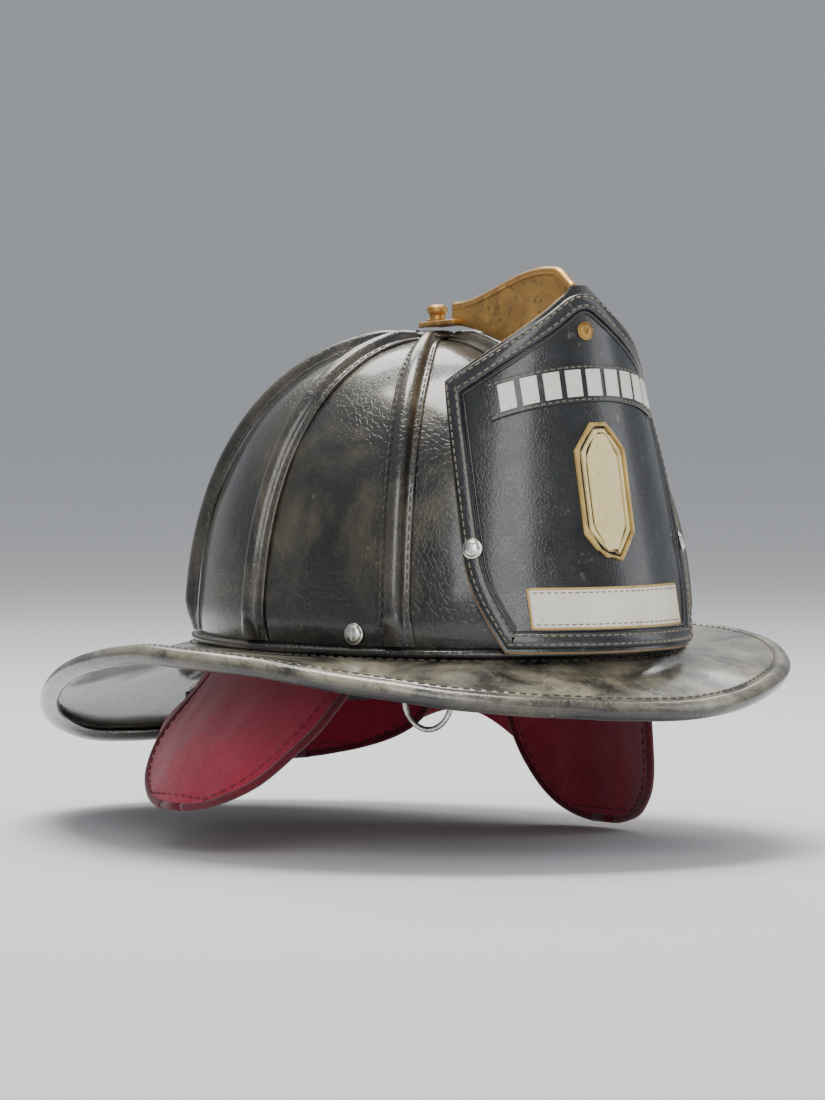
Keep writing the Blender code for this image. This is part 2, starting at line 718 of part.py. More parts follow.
def build_ratchet_knob():
    place = facing((0.0, NAPE_CENTRE + NAPE_RADIUS, NAPE_LEVEL), (0.0, 1.0, 0.0))
    profile = [(0.0, -0.0010), (PINION_RADIUS, -0.0010), (PINION_RADIUS, 0.0020), (0.0031, 0.0020),
               (0.0031, 0.0047), (KNOB_RADIUS - 0.001, 0.0047), (KNOB_RADIUS, 0.0060),
               (KNOB_RADIUS, 0.0110), (KNOB_RADIUS - 0.0022, 0.0128), (0.0, 0.0128)]
    knob = turned("ratchet_knob", profile, place, BAND_PLASTIC, 24)
    pivot(knob, (0.0, NAPE_CENTRE + NAPE_RADIUS, NAPE_LEVEL))


def build_tails():
    offset = PINION_RADIUS + 0.0005
    for side, name in ((1, "sizing_tail_left"), (-1, "sizing_tail_right")):
        psis = [math.radians(side * a) for a in between(-10, 46, 9)]
        near, far = NAPE_LEVEL + side * offset, NAPE_LEVEL + side * (offset + 0.0062)
        front = [[nape_point(psi, NAPE_RADIUS + 0.0012, z) for z in (near, far)] for psi in psis]
        back = [[nape_point(psi, NAPE_RADIUS - 0.0002, z) for z in (near, far)] for psi in psis]
        pivot(slab(name, front, back, BAND_PLASTIC), (0.0, NAPE_CENTRE, 0.0))


def build_nape_arms():
    for side, name in ((1, "nape_arm_left"), (-1, "nape_arm_right")):
        grids = ([], [])
        for degrees in between(70, 34, 12):
            psi = math.radians(degrees)
            outer = ray_to_oval(psi, HEADBAND_LENGTH + 0.0012, HEADBAND_WIDTH + 0.0012) + 0.0008
            inward = smooth((58.0 - degrees) / 20.0)
            radius = outer + (NAPE_RADIUS + 0.0032 - outer) * inward
            middle = 0.010 - 0.019 * smooth((70.0 - degrees) / 12.0) - 0.007 * inward
            for grid, off in zip(grids, (0.0008, -0.0008)):
                grid.append([nape_point(side * psi, radius + off, middle + z) for z in (-0.006, 0.006)])
        slab(name, grids[0], grids[1], BAND_PLASTIC)


# ---------------------------------------------------------------- flaps

def flap_grids(half_width, length, sag, side_power):
    """Local grids of a flap: X along the hinge, Y outwards, Z up, with the hinge on local X."""
    grids = []
    for off in (FLAP_THICKNESS / 2.0, -FLAP_THICKNESS / 2.0):
        grid = []
        for share in (0.0, 0.25, 0.5, 0.7, 0.85, 0.95, 1.0):
            down = FLAP_DROP + (length - FLAP_DROP) * share
            width = half_width * max((1.0 - share ** side_power) ** 0.5, 0.30)
            row = []
            for across in between(-1.0, 1.0, 11):
                x = across * width
                row.append(Vector((x, off - sag * (x / half_width) ** 2, -down)))
            grid.append(row)
        grids.append(grid)
    return grids


def build_flap(name, hinge, out, flare, half_width, length, sag, side_power):
    """A flap that hangs from a straight hinge line, turned outwards by flare."""
    front, back = flap_grids(half_width, length, sag, side_power)
    outward = Vector(out)
    along = Vector((0.0, 0.0, 1.0)).cross(outward)
    turn = Matrix((-along, outward, (0.0, 0.0, 1.0))).transposed().to_4x4()
    lift = Matrix.Rotation(flare, 4, "X")
    place = Matrix.Translation(hinge) @ turn @ lift
    grids = [[[place @ point for point in row] for row in grid] for grid in (front, back)]
    pivot(slab(name, grids[0], grids[1], FLANNEL), hinge)


def build_flaps():
    ear = (EAR_HALF_WIDTH, EAR_LENGTH, EAR_SAG, 4.0)
    build_flap("ear_flap_right", (-EAR_HINGE, EAR_MIDDLE, 0.0), (-1.0, 0.0, 0.0), RIGHT_FLARE, *ear)
    build_flap("ear_flap_left", (EAR_HINGE, EAR_MIDDLE, 0.0), (1.0, 0.0, 0.0), LEFT_FLARE, *ear)
    build_flap("neck_flap", (0.0, NECK_HINGE, 0.0), (0.0, 1.0, 0.0), NECK_FLARE,
               NECK_HALF_WIDTH, NECK_LENGTH, NECK_SAG, 5.0)


# ---------------------------------------------------------------- tabs and rings

def build_tab(name, place, length, finish):
    """A strip that curls round a ring: local X across, Z up the strip, origin on the ring's bar.

    A shallow groove above the curl leaves a flat face that neither the curl nor the rivet's head covers.
    """
    face = CURL_INNER + TAB_STEP
    outline = [(face, TAB_FACE_END), (CURL_INNER, TAB_FACE_END), (CURL_INNER, length), (CURL_OUTER, length)]
    for radius, angles in ((CURL_OUTER, range(0, -271, -30)), (CURL_INNER, range(-270, 1, 30))):
        for angle in angles:
            turn = math.radians(angle)
            outline.append((radius * math.cos(turn), radius * math.sin(turn)))
    outline.append((face, TAB_FACE))
    rings = []
    for across in (-TAB_HALF_WIDTH, TAB_HALF_WIDTH):
        rings.append([place @ Vector((across, out, up)) for out, up in outline])
    return sweep(name, rings, finish)


def build_ring(name, centre, across, down):
    """A D-shaped wire ring that hangs from a straight bar through centre."""
    across = Vector(across).normalized()
    down = Vector(down).normalized()
    centre = Vector(centre)
    route = [centre + across * x for x in between(-RING_HALF_WIDTH, RING_HALF_WIDTH, 5)]
    for i in range(1, 12):
        turn = math.pi * i / 12
        route.append(centre + across * RING_HALF_WIDTH * math.cos(turn)
                     + down * (0.003 + 0.0135 * math.sin(turn)))
    curve = bpy.data.curves.new(name, "CURVE")
    curve.dimensions = "3D"
    curve.bevel_depth = RING_WIRE
    curve.bevel_resolution = 2
    curve.fill_mode = "FULL"
    spline = curve.splines.new("POLY")
    spline.points.add(len(route) - 1)
    for point, spot in zip(spline.points, route):
        point.co = (*(spot - centre), 1.0)
    spline.use_cyclic_u = True
    spline.use_smooth = True
    curve.materials.append(STEEL)
    ring = bpy.data.objects.new(name, curve)
    ring.location = centre
    bpy.context.scene.collection.objects.link(ring)


def build_chin_hardware(impact_cap):
    for side, word in ((1, "left"), (-1, "right")):
        theta = side * CHIN_THETA
        centre = oval(theta, 0.1082, 0.0832, CHIN_LEVEL)
        out = Vector((math.sin(theta) / 0.0832, -math.cos(theta) / 0.1082, 0.0)).normalized()
        across = Vector((0.0, 0.0, 1.0)).cross(out)
        turn = Matrix((-across, out, (0.0, 0.0, 1.0))).transposed().to_4x4()
        tab = build_tab("chin_tab_" + word, Matrix.Translation(centre) @ turn, 0.030, BLACK_LEATHER)
        build_ring("chin_ring_" + word, centre, across, (0.0, 0.0, -1.0))
        seat = centre + out * CURL_INNER + Vector((0.0, 0.0, 0.024))
        place = facing(seat, -out)
        build_screw("chin_rivet_" + word, place, head=0.0040, shank=0.0015, reach=0.0068, dome=0.0012)
        drill([tab, impact_cap], place, 0.0019, 0.0085)


def build_hanger(brim):
    """The tab and ring under the rear of the brim, by which the helmet hangs on a hook."""
    share = 0.50
    rear = math.pi
    here = brim_surface(rear, share)
    ahead = brim_surface(rear, share + 0.02)
    slope = (ahead - here).normalized()
    normal = Vector((1.0, 0.0, 0.0)).cross(slope).normalized()
    if normal.z < 0.0:
        normal = -normal
    depth = BRIM_LEATHER / normal.z + 0.0008
    centre = here + slope * 0.010 - normal * (depth + CURL_OUTER)
    turn = Matrix(((1.0, 0.0, 0.0), normal, -slope)).transposed().to_4x4()
    tab = build_tab("hanger_tab", Matrix.Translation(centre) @ turn, 0.024, STEEL)
    build_ring("hanger_ring", centre, (1.0, 0.0, 0.0), (0.0, 0.0, -1.0))
    seat = centre + normal * CURL_INNER - slope * 0.016
    place = facing(seat, -normal)
    build_screw("hanger_screw", place, head=0.0038, shank=0.0015, reach=0.0052, dome=0.0012)
    drill([tab, brim], place, 0.0019, 0.009)


def build_liner_screws(panels, impact_cap):
    """Two screws low on the front of the crown that hold the impact cap."""
    for panel, word, degrees in ((panels[0], "left", 61), (panels[3], "right", -61)):
        seat = crown_point(math.radians(degrees), 0.0115, 0.0)
        out = crown_normal(seat)
        out.z = 0.0
        place = facing(seat, out)
        build_screw("liner_screw_" + word, place, head=0.0042, shank=0.0016, reach=0.0072)
        drill([panel, impact_cap], place, 0.0020, 0.009)


def build():
    panels = build_crown_panels()
    build_combs()
    build_crown_cap()
    build_welt()
    brim = build_brim()
    base, border = build_shield()
    build_shield_screws(base, border)
    build_holder(base)
    impact_cap = build_dome("impact_cap", IMPACT_CAP, 0.005, LINER_PLASTIC, 1)
    build_dome("foam_liner", FOAM, 0.0255, FOAM_GREY, 2)
    build_suspension()
    build_ratchet_housing()
    build_ratchet_knob()
    build_tails()
    build_nape_arms()
    build_flaps()
    build_chin_hardware(impact_cap)
    build_hanger(brim)
    build_liner_screws(panels, impact_cap)


build()
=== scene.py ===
"""The looks of a traditional leather firefighter helmet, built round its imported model.

Metres, +Z up. The front faces -Y and the wearer's left is +X. theta runs round +Z from the front
towards the wearer's left, and psi from the rear towards the wearer's left.
"""

import json
import math

import bmesh
import bpy
from mathutils import Matrix, Vector, noise


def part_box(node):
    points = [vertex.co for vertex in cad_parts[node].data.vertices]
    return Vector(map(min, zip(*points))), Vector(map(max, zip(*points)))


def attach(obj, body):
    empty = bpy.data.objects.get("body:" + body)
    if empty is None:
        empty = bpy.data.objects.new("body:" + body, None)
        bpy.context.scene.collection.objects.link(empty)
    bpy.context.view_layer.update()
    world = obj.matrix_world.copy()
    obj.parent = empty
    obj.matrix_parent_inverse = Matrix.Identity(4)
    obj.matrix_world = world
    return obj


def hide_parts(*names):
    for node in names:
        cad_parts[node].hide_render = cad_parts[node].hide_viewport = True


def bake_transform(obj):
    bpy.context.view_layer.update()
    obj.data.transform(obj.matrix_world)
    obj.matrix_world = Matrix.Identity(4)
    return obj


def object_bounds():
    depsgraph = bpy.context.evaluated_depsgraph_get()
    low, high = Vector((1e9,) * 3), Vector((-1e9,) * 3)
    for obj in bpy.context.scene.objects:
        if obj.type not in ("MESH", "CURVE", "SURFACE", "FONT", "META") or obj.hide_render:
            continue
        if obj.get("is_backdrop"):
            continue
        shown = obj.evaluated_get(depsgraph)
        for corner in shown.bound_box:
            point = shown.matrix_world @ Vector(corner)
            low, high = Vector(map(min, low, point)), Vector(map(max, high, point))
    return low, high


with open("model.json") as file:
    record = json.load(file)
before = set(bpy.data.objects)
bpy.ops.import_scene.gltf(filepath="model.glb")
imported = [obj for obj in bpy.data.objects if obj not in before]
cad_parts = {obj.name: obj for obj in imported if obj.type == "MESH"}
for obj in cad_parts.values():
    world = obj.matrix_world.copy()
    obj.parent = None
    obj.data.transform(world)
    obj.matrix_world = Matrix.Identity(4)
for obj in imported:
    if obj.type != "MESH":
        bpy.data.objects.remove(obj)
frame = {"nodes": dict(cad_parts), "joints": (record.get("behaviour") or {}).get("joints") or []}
cad_low, cad_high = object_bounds()
NODES = frame["nodes"]
JOINTS = {joint["name"]: joint for joint in frame["joints"]}
for name in ("Cube", "Light", "Camera"):
    if name in bpy.data.objects:
        bpy.data.objects.remove(bpy.data.objects[name], do_unlink=True)

# The crown and the brim, as the model has them.
CROWN_LENGTH = 0.123
CROWN_WIDTH = 0.098
CROWN_HEIGHT = 0.136
CROWN_POWER = 2.3
CROWN_FOOT = -0.0015
FOOT_PINCH = 0.035
PINCH_HEIGHT = 0.018
LEATHER = 0.0035
COMB_COUNT = 8
COMB_FOOT = 0.0068
BRIM_FRONT = 0.166
BRIM_REAR = 0.242
BRIM_SIDE = 0.150
REAR_TAPER = 0.05
DROOP_FRONT = 0.017
DROOP_REAR = 0.050
DROOP_SIDE = -0.004
BRIM_TOP = 0.0016
BRIM_LEATHER = 0.0032
ROLL_OUTER = 0.0043
ROLL_INNER = 0.0015

# The shield.
SHIELD_FOOT_RADIUS = 0.070
SHIELD_TOP_RADIUS = 0.034
SHIELD_FOOT = 0.005
SHIELD_TOP = 0.160
SHIELD_FRONT = 0.1355
SHIELD_APEX = 0.103
SHIELD_LEATHER = 0.0026
SHIELD_WIDTH = 0.0645
SHIELD_FOOT_WIDTH = 0.0515
SHIELD_WAIST = 0.046
SHIELD_SHOULDER = 0.119
SHIELD_LEAN = (SHIELD_FRONT - SHIELD_APEX) / (SHIELD_TOP - SHIELD_FOOT)
SHIELD_FACE = SHIELD_LEATHER + 0.0002
BORDER_LEATHER = 0.0019
BANNER_HALF_WIDTH = 0.045
BANNER_ARCH = 0.0085
BANNER_LEATHER = 0.0011
BLOCK_COUNT = 9
BLOCK_PITCH = 0.0092
PLAQUE_LEVEL = 0.072
PLAQUE_REACH = 0.0295
PLAQUE_HALF_WIDTH = 0.0125
PANEL_HALF_WIDTH = 0.039
PANEL_FOOT = 0.0150
PANEL_TOP = 0.0310
SHIELD_SCREW_LEVEL = 0.048
HOLDER_SCREW_LEVEL = 0.1405
LINER_SCREW_LEVEL = 0.0115

# The nape arc, round which the sizing tails run.
NAPE_CENTRE = 0.030
NAPE_RADIUS = 0.060
NAPE_LEVEL = -0.016

# Flaps, as the model has them.
EAR_HINGE = 0.087
EAR_MIDDLE = 0.006
EAR_LENGTH = 0.082
EAR_HALF_WIDTH = 0.054
EAR_SAG = 0.0115
RIGHT_FLARE = math.radians(47)
LEFT_FLARE = math.radians(10)
NECK_HINGE = 0.111
NECK_LENGTH = 0.056
NECK_HALF_WIDTH = 0.058
NECK_SAG = 0.028
NECK_FLARE = math.radians(12)
FLAP_RISE = 0.009
FLAP_STEP = 0.0005

# The picture: the height of the view at the helmet, and the backdrop, a flat floor that curves up.
VIEW_AZIMUTH = math.radians(-35.0)
VIEW_ELEVATION = math.radians(2.8)
VIEW_DISTANCE = 3.2
VIEW_HEIGHT = 0.485
VIEW_SHIFT = -0.011
FLAT_FLOOR = 5.5
SWEEP = 9.0


# ---------------------------------------------------------------- materials

class Finish:
    """A Principled material whose colour, roughness and bump come from nodes."""

    def __init__(self, name, metallic=0.0, coat=0.0, coat_roughness=0.15, sheen=0.0, specular=0.5):
        self.material = bpy.data.materials.new(name)
        self.material.use_nodes = True
        self.tree = self.material.node_tree
        self.shader = self.tree.nodes["Principled BSDF"]
        self.shader.inputs["Metallic"].default_value = metallic
        self.shader.inputs["Coat Weight"].default_value = coat
        self.shader.inputs["Coat Roughness"].default_value = coat_roughness
        self.shader.inputs["Sheen Weight"].default_value = sheen
        self.shader.inputs["Specular IOR Level"].default_value = specular
        self.place = self.node("ShaderNodeTexCoord").outputs["Object"]

    def node(self, kind, **inputs):
        made = self.tree.nodes.new(kind)
        for key, value in inputs.items():
            made.inputs[key.replace("_", " ")].default_value = value
        return made

    def link(self, start, end):
        self.tree.links.new(start, end)

    def stretched(self, scale, turn=(0.0, 0.0, 0.0)):
        """The place, scaled along each axis."""
        mapping = self.node("ShaderNodeMapping", Scale=scale, Rotation=turn)
        self.link(self.place, mapping.inputs["Vector"])
        return mapping.outputs["Vector"]

    def noise(self, scale, detail=4.0, rough=0.55, warp=0.0, vector=None):
        made = self.node("ShaderNodeTexNoise", Scale=scale, Detail=detail, Roughness=rough, Distortion=warp)
        self.link(vector or self.place, made.inputs["Vector"])
        return made.outputs["Fac"]

    def cells(self, scale, vector=None, feature="F1"):
        made = self.node("ShaderNodeTexVoronoi", Scale=scale)
        made.feature = feature
        self.link(vector or self.place, made.inputs["Vector"])
        return made.outputs["Distance"]

    def waves(self, scale, vector=None, warp=0.0):
        made = self.node("ShaderNodeTexWave", Scale=scale, Distortion=warp)
        self.link(vector or self.place, made.inputs["Vector"])
        return made.outputs["Fac"]

    def spread(self, value, low, high, out_low=0.0, out_high=1.0):
        made = self.node("ShaderNodeMapRange", From_Min=low, From_Max=high, To_Min=out_low, To_Max=out_high)
        self.link(value, made.inputs["Value"])
        return made.outputs["Result"]

    def maths(self, kind, first, second):
        made = self.tree.nodes.new("ShaderNodeMath")
        made.operation = kind
        for socket, value in zip(made.inputs, (first, second)):
            if isinstance(value, float):
                socket.default_value = value
            else:
                self.link(value, socket)
        return made.outputs["Value"]

    def blend(self, share, first, second):
        """A mix of two colours, each a tuple or another mix."""
        made = self.tree.nodes.new("ShaderNodeMix")
        made.data_type = "RGBA"
        self.link(share, made.inputs["Factor"])
        for key, value in (("A", first), ("B", second)):
            socket = [s for s in made.inputs if s.name == key and s.type == "RGBA"][0]
            if isinstance(value, tuple):
                socket.default_value = (*value, 1.0)
            else:
                self.link(value, socket)
        return [s for s in made.outputs if s.type == "RGBA"][0]

    def upward(self):
        """1 where a face looks up, 0 where it looks down."""
        split = self.node("ShaderNodeSeparateXYZ")
        self.link(self.node("ShaderNodeNewGeometry").outputs["Normal"], split.inputs["Vector"])
        return self.spread(split.outputs["Z"], -0.3, 0.5)

    def finish(self, colour, roughness, heights):
        """heights is a list of (value, depth in metres)."""
        self.link(colour, self.shader.inputs["Base Color"])
        self.link(roughness, self.shader.inputs["Roughness"])
        previous = None
        for value, depth in heights:
            bump = self.node("ShaderNodeBump", Strength=0.9, Distance=depth)
            self.link(value, bump.inputs["Height"])
            if previous:
                self.link(previous, bump.inputs["Normal"])
            previous = bump.outputs["Normal"]
        self.link(previous, self.shader.inputs["Normal"])
        return self.material


def worn_leather(name, dark, dust, high, fleck=(0.42, 0.37, 0.26), dust_and_top_sheen=None):
    """Painted leather, its gloss crazed and its paint rubbed through to dusty brown in patches. An optional
    last colour is laid over faces that look up: partly settled dust and partly a painted highlight of the
    light from above, which leaves the undersides darker as painted shade.
    """
    made = Finish(name, coat=0.8, coat_roughness=0.14)
    patches = made.spread(made.noise(17.0, 7.0, 0.62, 0.6), 0.46, high)
    streaks = made.spread(made.noise(60.0, 5.0, 0.7, 0.0, made.stretched((1.0, 1.0, 0.22))), 0.44, 0.72)
    worn = made.maths("MULTIPLY", patches, made.spread(streaks, 0.0, 1.0, 0.45, 1.0))
    chips = made.spread(made.noise(230.0, 6.0, 0.75), 0.64, 0.70)
    chipped = made.maths("MULTIPLY", chips, made.spread(patches, 0.0, 1.0, 0.12, 0.9))
    colour = made.blend(worn, dark, dust)
    colour = made.blend(chipped, colour, fleck)
    if dust_and_top_sheen:
        # Lighter colour on upward faces in patches: partly settled dust, partly a painted highlight on the
        # top and painted shade beneath
        dust_and_sheen_patches = made.spread(made.noise(26.0, 6.0, 0.68, 0.5), 0.42, 0.70)
        colour = made.blend(made.maths("MULTIPLY", dust_and_sheen_patches, made.upward()), colour, dust_and_top_sheen)
    rough = made.spread(made.maths("ADD", worn, made.noise(90.0)), 0.3, 1.5, 0.24, 0.5)
    crazing = made.cells(420.0, made.stretched((1.0, 1.0, 0.7)), "DISTANCE_TO_EDGE")
    heights = [(made.spread(crazing, 0.0, 0.12), 0.00010), (made.noise(55.0, 4.0), 0.0009),
               (made.noise(900.0, 3.0), 0.00008)]
    return made.finish(colour, rough, heights)


def plain_leather(name, first, second, gloss=(0.4, 0.62), coat=0.15, grain=700.0, scuff=None):
    """Leather with a fine pebbled grain and two close tones."""
    made = Finish(name, coat=coat, coat_roughness=0.2)
    tone = made.spread(made.noise(45.0, 6.0, 0.6, 0.4), 0.35, 0.68)
    colour = made.blend(tone, first, second)
    if scuff:
        rubbed = made.spread(made.noise(160.0, 6.0, 0.72), 0.60, 0.72)
        colour = made.blend(rubbed, colour, scuff)
    rough = made.spread(made.noise(120.0), 0.3, 0.7, *gloss)
    pebbles = made.spread(made.cells(grain), 0.0, 0.7)
    return made.finish(colour, rough, [(pebbles, 0.00012), (made.noise(70.0, 4.0), 0.0004)])


def aged_brass():
    made = Finish("aged_brass", metallic=0.75, coat=0.25, coat_roughness=0.22)
    stain = made.spread(made.noise(38.0, 6.0, 0.65, 0.8), 0.40, 0.64)
    pits = made.spread(made.noise(260.0, 5.0, 0.7), 0.56, 0.70)
    colour = made.blend(stain, (0.62, 0.35, 0.09), (0.30, 0.150, 0.045))
    colour = made.blend(pits, colour, (0.075, 0.050, 0.028))
    rough = made.spread(made.maths("ADD", stain, made.noise(150.0)), 0.4, 1.5, 0.27, 0.55)
    return made.finish(colour, rough, [(made.noise(120.0, 6.0), 0.0005), (pits, 0.00015)])


def bright_metal(name, first, second):
    made = Finish(name, metallic=1.0)
    tarnish = made.spread(made.noise(220.0, 5.0, 0.65), 0.45, 0.70)
    colour = made.blend(tarnish, first, second)
    rough = made.spread(made.noise(500.0, 5.0, 0.7), 0.3, 0.7, 0.16, 0.42)
    return made.finish(colour, rough, [(made.noise(700.0, 4.0), 0.00008)])


def flannel(name, first, second, shade):
    """Napped wool: a twill under loose fibres, with darker wear."""
    made = Finish(name, sheen=0.35, specular=0.2)
    made.shader.inputs["Sheen Roughness"].default_value = 0.5
    blotch = made.spread(made.noise(32.0, 6.0, 0.6, 0.5), 0.34, 0.66)
    fibres = made.noise(1500.0, 5.0, 0.8, 0.4, made.stretched((1.0, 1.0, 0.35), (0.5, 0.3, 0.2)))
    colour = made.blend(blotch, first, second)
    colour = made.blend(made.spread(fibres, 0.42, 0.72), colour, shade)
    twill = made.waves(330.0, made.stretched((1.0, 1.0, 1.0), (0.6, 0.7, 0.3)), 1.2)
    rough = made.spread(fibres, 0.2, 0.8, 0.86, 1.0)
    return made.finish(colour, rough, [(twill, 0.00014), (fibres, 0.0003), (made.noise(60.0), 0.0012)])


def webbing():
    made = Finish("strap_webbing", sheen=0.15)
    across = made.waves(420.0, made.stretched((1.0, 1.0, 1.0), (0.0, 0.0, 0.78)))
    along = made.waves(420.0, made.stretched((1.0, 1.0, 1.0), (0.0, 1.57, 0.78)))
    weave = made.maths("MULTIPLY", across, along)
    colour = made.blend(weave, (0.016, 0.016, 0.018), (0.060, 0.060, 0.064))
    rough = made.spread(made.noise(300.0), 0.3, 0.7, 0.7, 0.92)
    return made.finish(colour, rough, [(weave, 0.0004), (made.noise(900.0), 0.0001)])


def moulded_plastic(name, first, second):
    made = Finish(name)
    scuffs = made.spread(made.noise(110.0, 6.0, 0.7), 0.52, 0.74)
    colour = made.blend(scuffs, first, second)
    rough = made.spread(made.noise(240.0, 4.0), 0.3, 0.7, 0.34, 0.58)
    return made.finish(colour, rough, [(made.cells(1300.0), 0.00006), (made.noise(60.0), 0.0002)])


def foam_finish():
    """Rigid foam made of fused beads."""
    made = Finish("liner_foam", specular=0.25)
    beads = made.cells(330.0)
    colour = made.blend(made.spread(beads, 0.1, 0.6), (0.17, 0.17, 0.165), (0.085, 0.085, 0.085))
    colour = made.blend(made.spread(made.noise(50.0), 0.4, 0.7), colour, (0.13, 0.125, 0.11))
    rough = made.spread(made.noise(200.0), 0.3, 0.7, 0.82, 0.97)
    return made.finish(colour, rough, [(beads, 0.0005)])


BLACK = worn_leather("worn_black_leather", (0.009, 0.008, 0.007), (0.125, 0.106, 0.062), 0.66)
COMB_BLACK = worn_leather("comb_leather", (0.010, 0.009, 0.008), (0.17, 0.145, 0.095), 0.70)
# The brim's last colour, cream over faces that look up, is partly dust and partly a painted highlight of
# the top light; the darker underside it leaves is painted shade.
BRIM_BLACK = worn_leather("brim_leather", (0.011, 0.010, 0.009), (0.18, 0.155, 0.105), 0.70,
                          (0.60, 0.54, 0.40), (0.42, 0.375, 0.27))
SHIELD_BLACK = plain_leather("shield_leather", (0.009, 0.010, 0.011), (0.026, 0.028, 0.030), (0.24, 0.40),
                             coat=0.6, grain=900.0, scuff=(0.12, 0.115, 0.10))
RAW_LEATHER = plain_leather("raw_leather", (0.38, 0.24, 0.12), (0.22, 0.12, 0.055), grain=500.0,
                            scuff=(0.10, 0.055, 0.025))
GOLD = plain_leather("gold_leather", (0.62, 0.43, 0.13), (0.40, 0.25, 0.07), (0.30, 0.48), coat=0.3,
                     scuff=(0.16, 0.10, 0.04))
PALE_GOLD = plain_leather("pale_gold_leather", (0.86, 0.72, 0.36), (0.74, 0.58, 0.26), (0.36, 0.52),
                          coat=0.25, scuff=(0.45, 0.30, 0.11))
CREAM = plain_leather("cream_leather", (0.88, 0.85, 0.72), (0.76, 0.71, 0.55), (0.42, 0.60),
                      scuff=(0.50, 0.42, 0.27))
WHITE = plain_leather("white_leather", (0.86, 0.86, 0.80), (0.70, 0.69, 0.61), (0.40, 0.58),
                      scuff=(0.30, 0.27, 0.20))
SWEAT = plain_leather("sweatband_leather", (0.21, 0.115, 0.055), (0.12, 0.062, 0.030), (0.48, 0.72),
                      scuff=(0.055, 0.030, 0.018))
THREAD = plain_leather("waxed_thread", (0.30, 0.25, 0.17), (0.16, 0.13, 0.09), (0.6, 0.8), grain=2500.0)
DARK_THREAD = plain_leather("dark_thread", (0.050, 0.044, 0.036), (0.10, 0.085, 0.06), (0.6, 0.8),
                            grain=2500.0)
RED_THREAD = plain_leather("red_thread", (0.20, 0.02, 0.03), (0.11, 0.01, 0.018), (0.7, 0.9), grain=2500.0)
BRASS = aged_brass()
BRIGHT = bright_metal("bright_plate", (0.78, 0.77, 0.73), (0.34, 0.31, 0.25))
WIRE = bright_metal("brim_wire", (0.42, 0.41, 0.39), (0.20, 0.15, 0.11))
FLANNEL = flannel("red_flannel", (0.46, 0.024, 0.060), (0.32, 0.016, 0.044), (0.18, 0.012, 0.030))
FLANNEL_DARK = flannel("red_flannel_binding", (0.17, 0.012, 0.024), (0.11, 0.008, 0.018),
                       (0.06, 0.006, 0.012))
WEBBING = webbing()
PLASTIC = moulded_plastic("headband_plastic", (0.024, 0.024, 0.026), (0.075, 0.075, 0.075))
LINER = moulded_plastic("liner_plastic", (0.040, 0.040, 0.043), (0.10, 0.10, 0.10))
FOAM = foam_finish()


# ---------------------------------------------------------------- mesh helpers

def plain_piece(name, shape):
    """An object of the (points, faces) in shape, its faces turned outwards."""
    points, faces = shape
    mesh = bpy.data.meshes.new(name)
    mesh.from_pydata([tuple(point) for point in points], [], faces)
    work = bmesh.new()
    work.from_mesh(mesh)
    bmesh.ops.recalc_face_normals(work, faces=work.faces)
    work.to_mesh(mesh)
    work.free()
    piece = bpy.data.objects.new(name, mesh)
    bpy.context.scene.collection.objects.link(piece)
    return piece


def finished(name, shape, finish, node=None, sharp=None, body="shell"):
    """A named piece that rides on a body and may stand for a CAD node."""
    piece = plain_piece(name, shape)
    piece.data.shade_smooth()
    if sharp:
        piece.data.set_sharp_from_angle(angle=math.radians(sharp))
    piece.data.materials.append(finish)
    if body:
        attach(piece, body)
    if node:
        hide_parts(node)
    return piece


def strip_quads(first, second, wrap):
    last = len(first) if wrap else len(first) - 1
    return [(first[i], first[(i + 1) % len(first)], second[(i + 1) % len(first)], second[i])
            for i in range(last)]


def slab_mesh(front, back, wrap=False, poles=None):
    """Points and faces of a closed solid between two grids."""
    points = []
    grids = []
    for grid in (front, back):
        numbers = []
        for row in grid:
            numbers.append(list(range(len(points), len(points) + len(row))))
            points.extend(row)
        grids.append(numbers)
    faces = []
    for numbers in grids:
        for lower, upper in zip(numbers, numbers[1:]):
            faces.extend(strip_quads(lower, upper, wrap))
    for end in ([0] if poles else [0, -1]):
        faces.extend(strip_quads(grids[0][end], grids[1][end], wrap))
    if not wrap:
        for side in (0, -1):
            first, second = ([row[side] for row in numbers] for numbers in grids)
            faces.extend(strip_quads(first, second, False))
    if poles:
        for numbers, pole in zip(grids, poles):
            tip = len(points)
            points.append(pole)
            last = numbers[-1]
            faces.extend((last[i], last[(i + 1) % len(last)], tip) for i in range(len(last)))
    return points, faces


def sweep_mesh(rings, closed=False, first=0):
    """Points and faces of a solid through equal closed outlines; face numbers start at first."""
    points = [point for ring in rings for point in ring]
    size = len(rings[0])
    numbers = [list(range(first + k * size, first + (k + 1) * size)) for k in range(len(rings))]
    faces = []
    for lower, upper in zip(numbers, numbers[1:]):
        faces.extend(strip_quads(lower, upper, True))
    if closed:
        faces.extend(strip_quads(numbers[-1], numbers[0], True))
    else:
        faces.append(tuple(numbers[0]))
        faces.append(tuple(numbers[-1]))
    return points, faces


def round_edges(piece, width, segments=3, angle=32):
    bevel = piece.modifiers.new("round_edges", "BEVEL")
    bevel.width = width
    bevel.segments = segments
    bevel.limit_method = "ANGLE"
    bevel.angle_limit = math.radians(angle)
    bevel.harden_normals = False


def between(low, high, count):
    return [low + (high - low) * i / (count - 1) for i in range(count)]


def smooth(share):
    share = min(max(share, 0.0), 1.0)
    return share * share * (3.0 - 2.0 * share)


def full_turn(count):
    return [math.tau * i / count for i in range(count)]


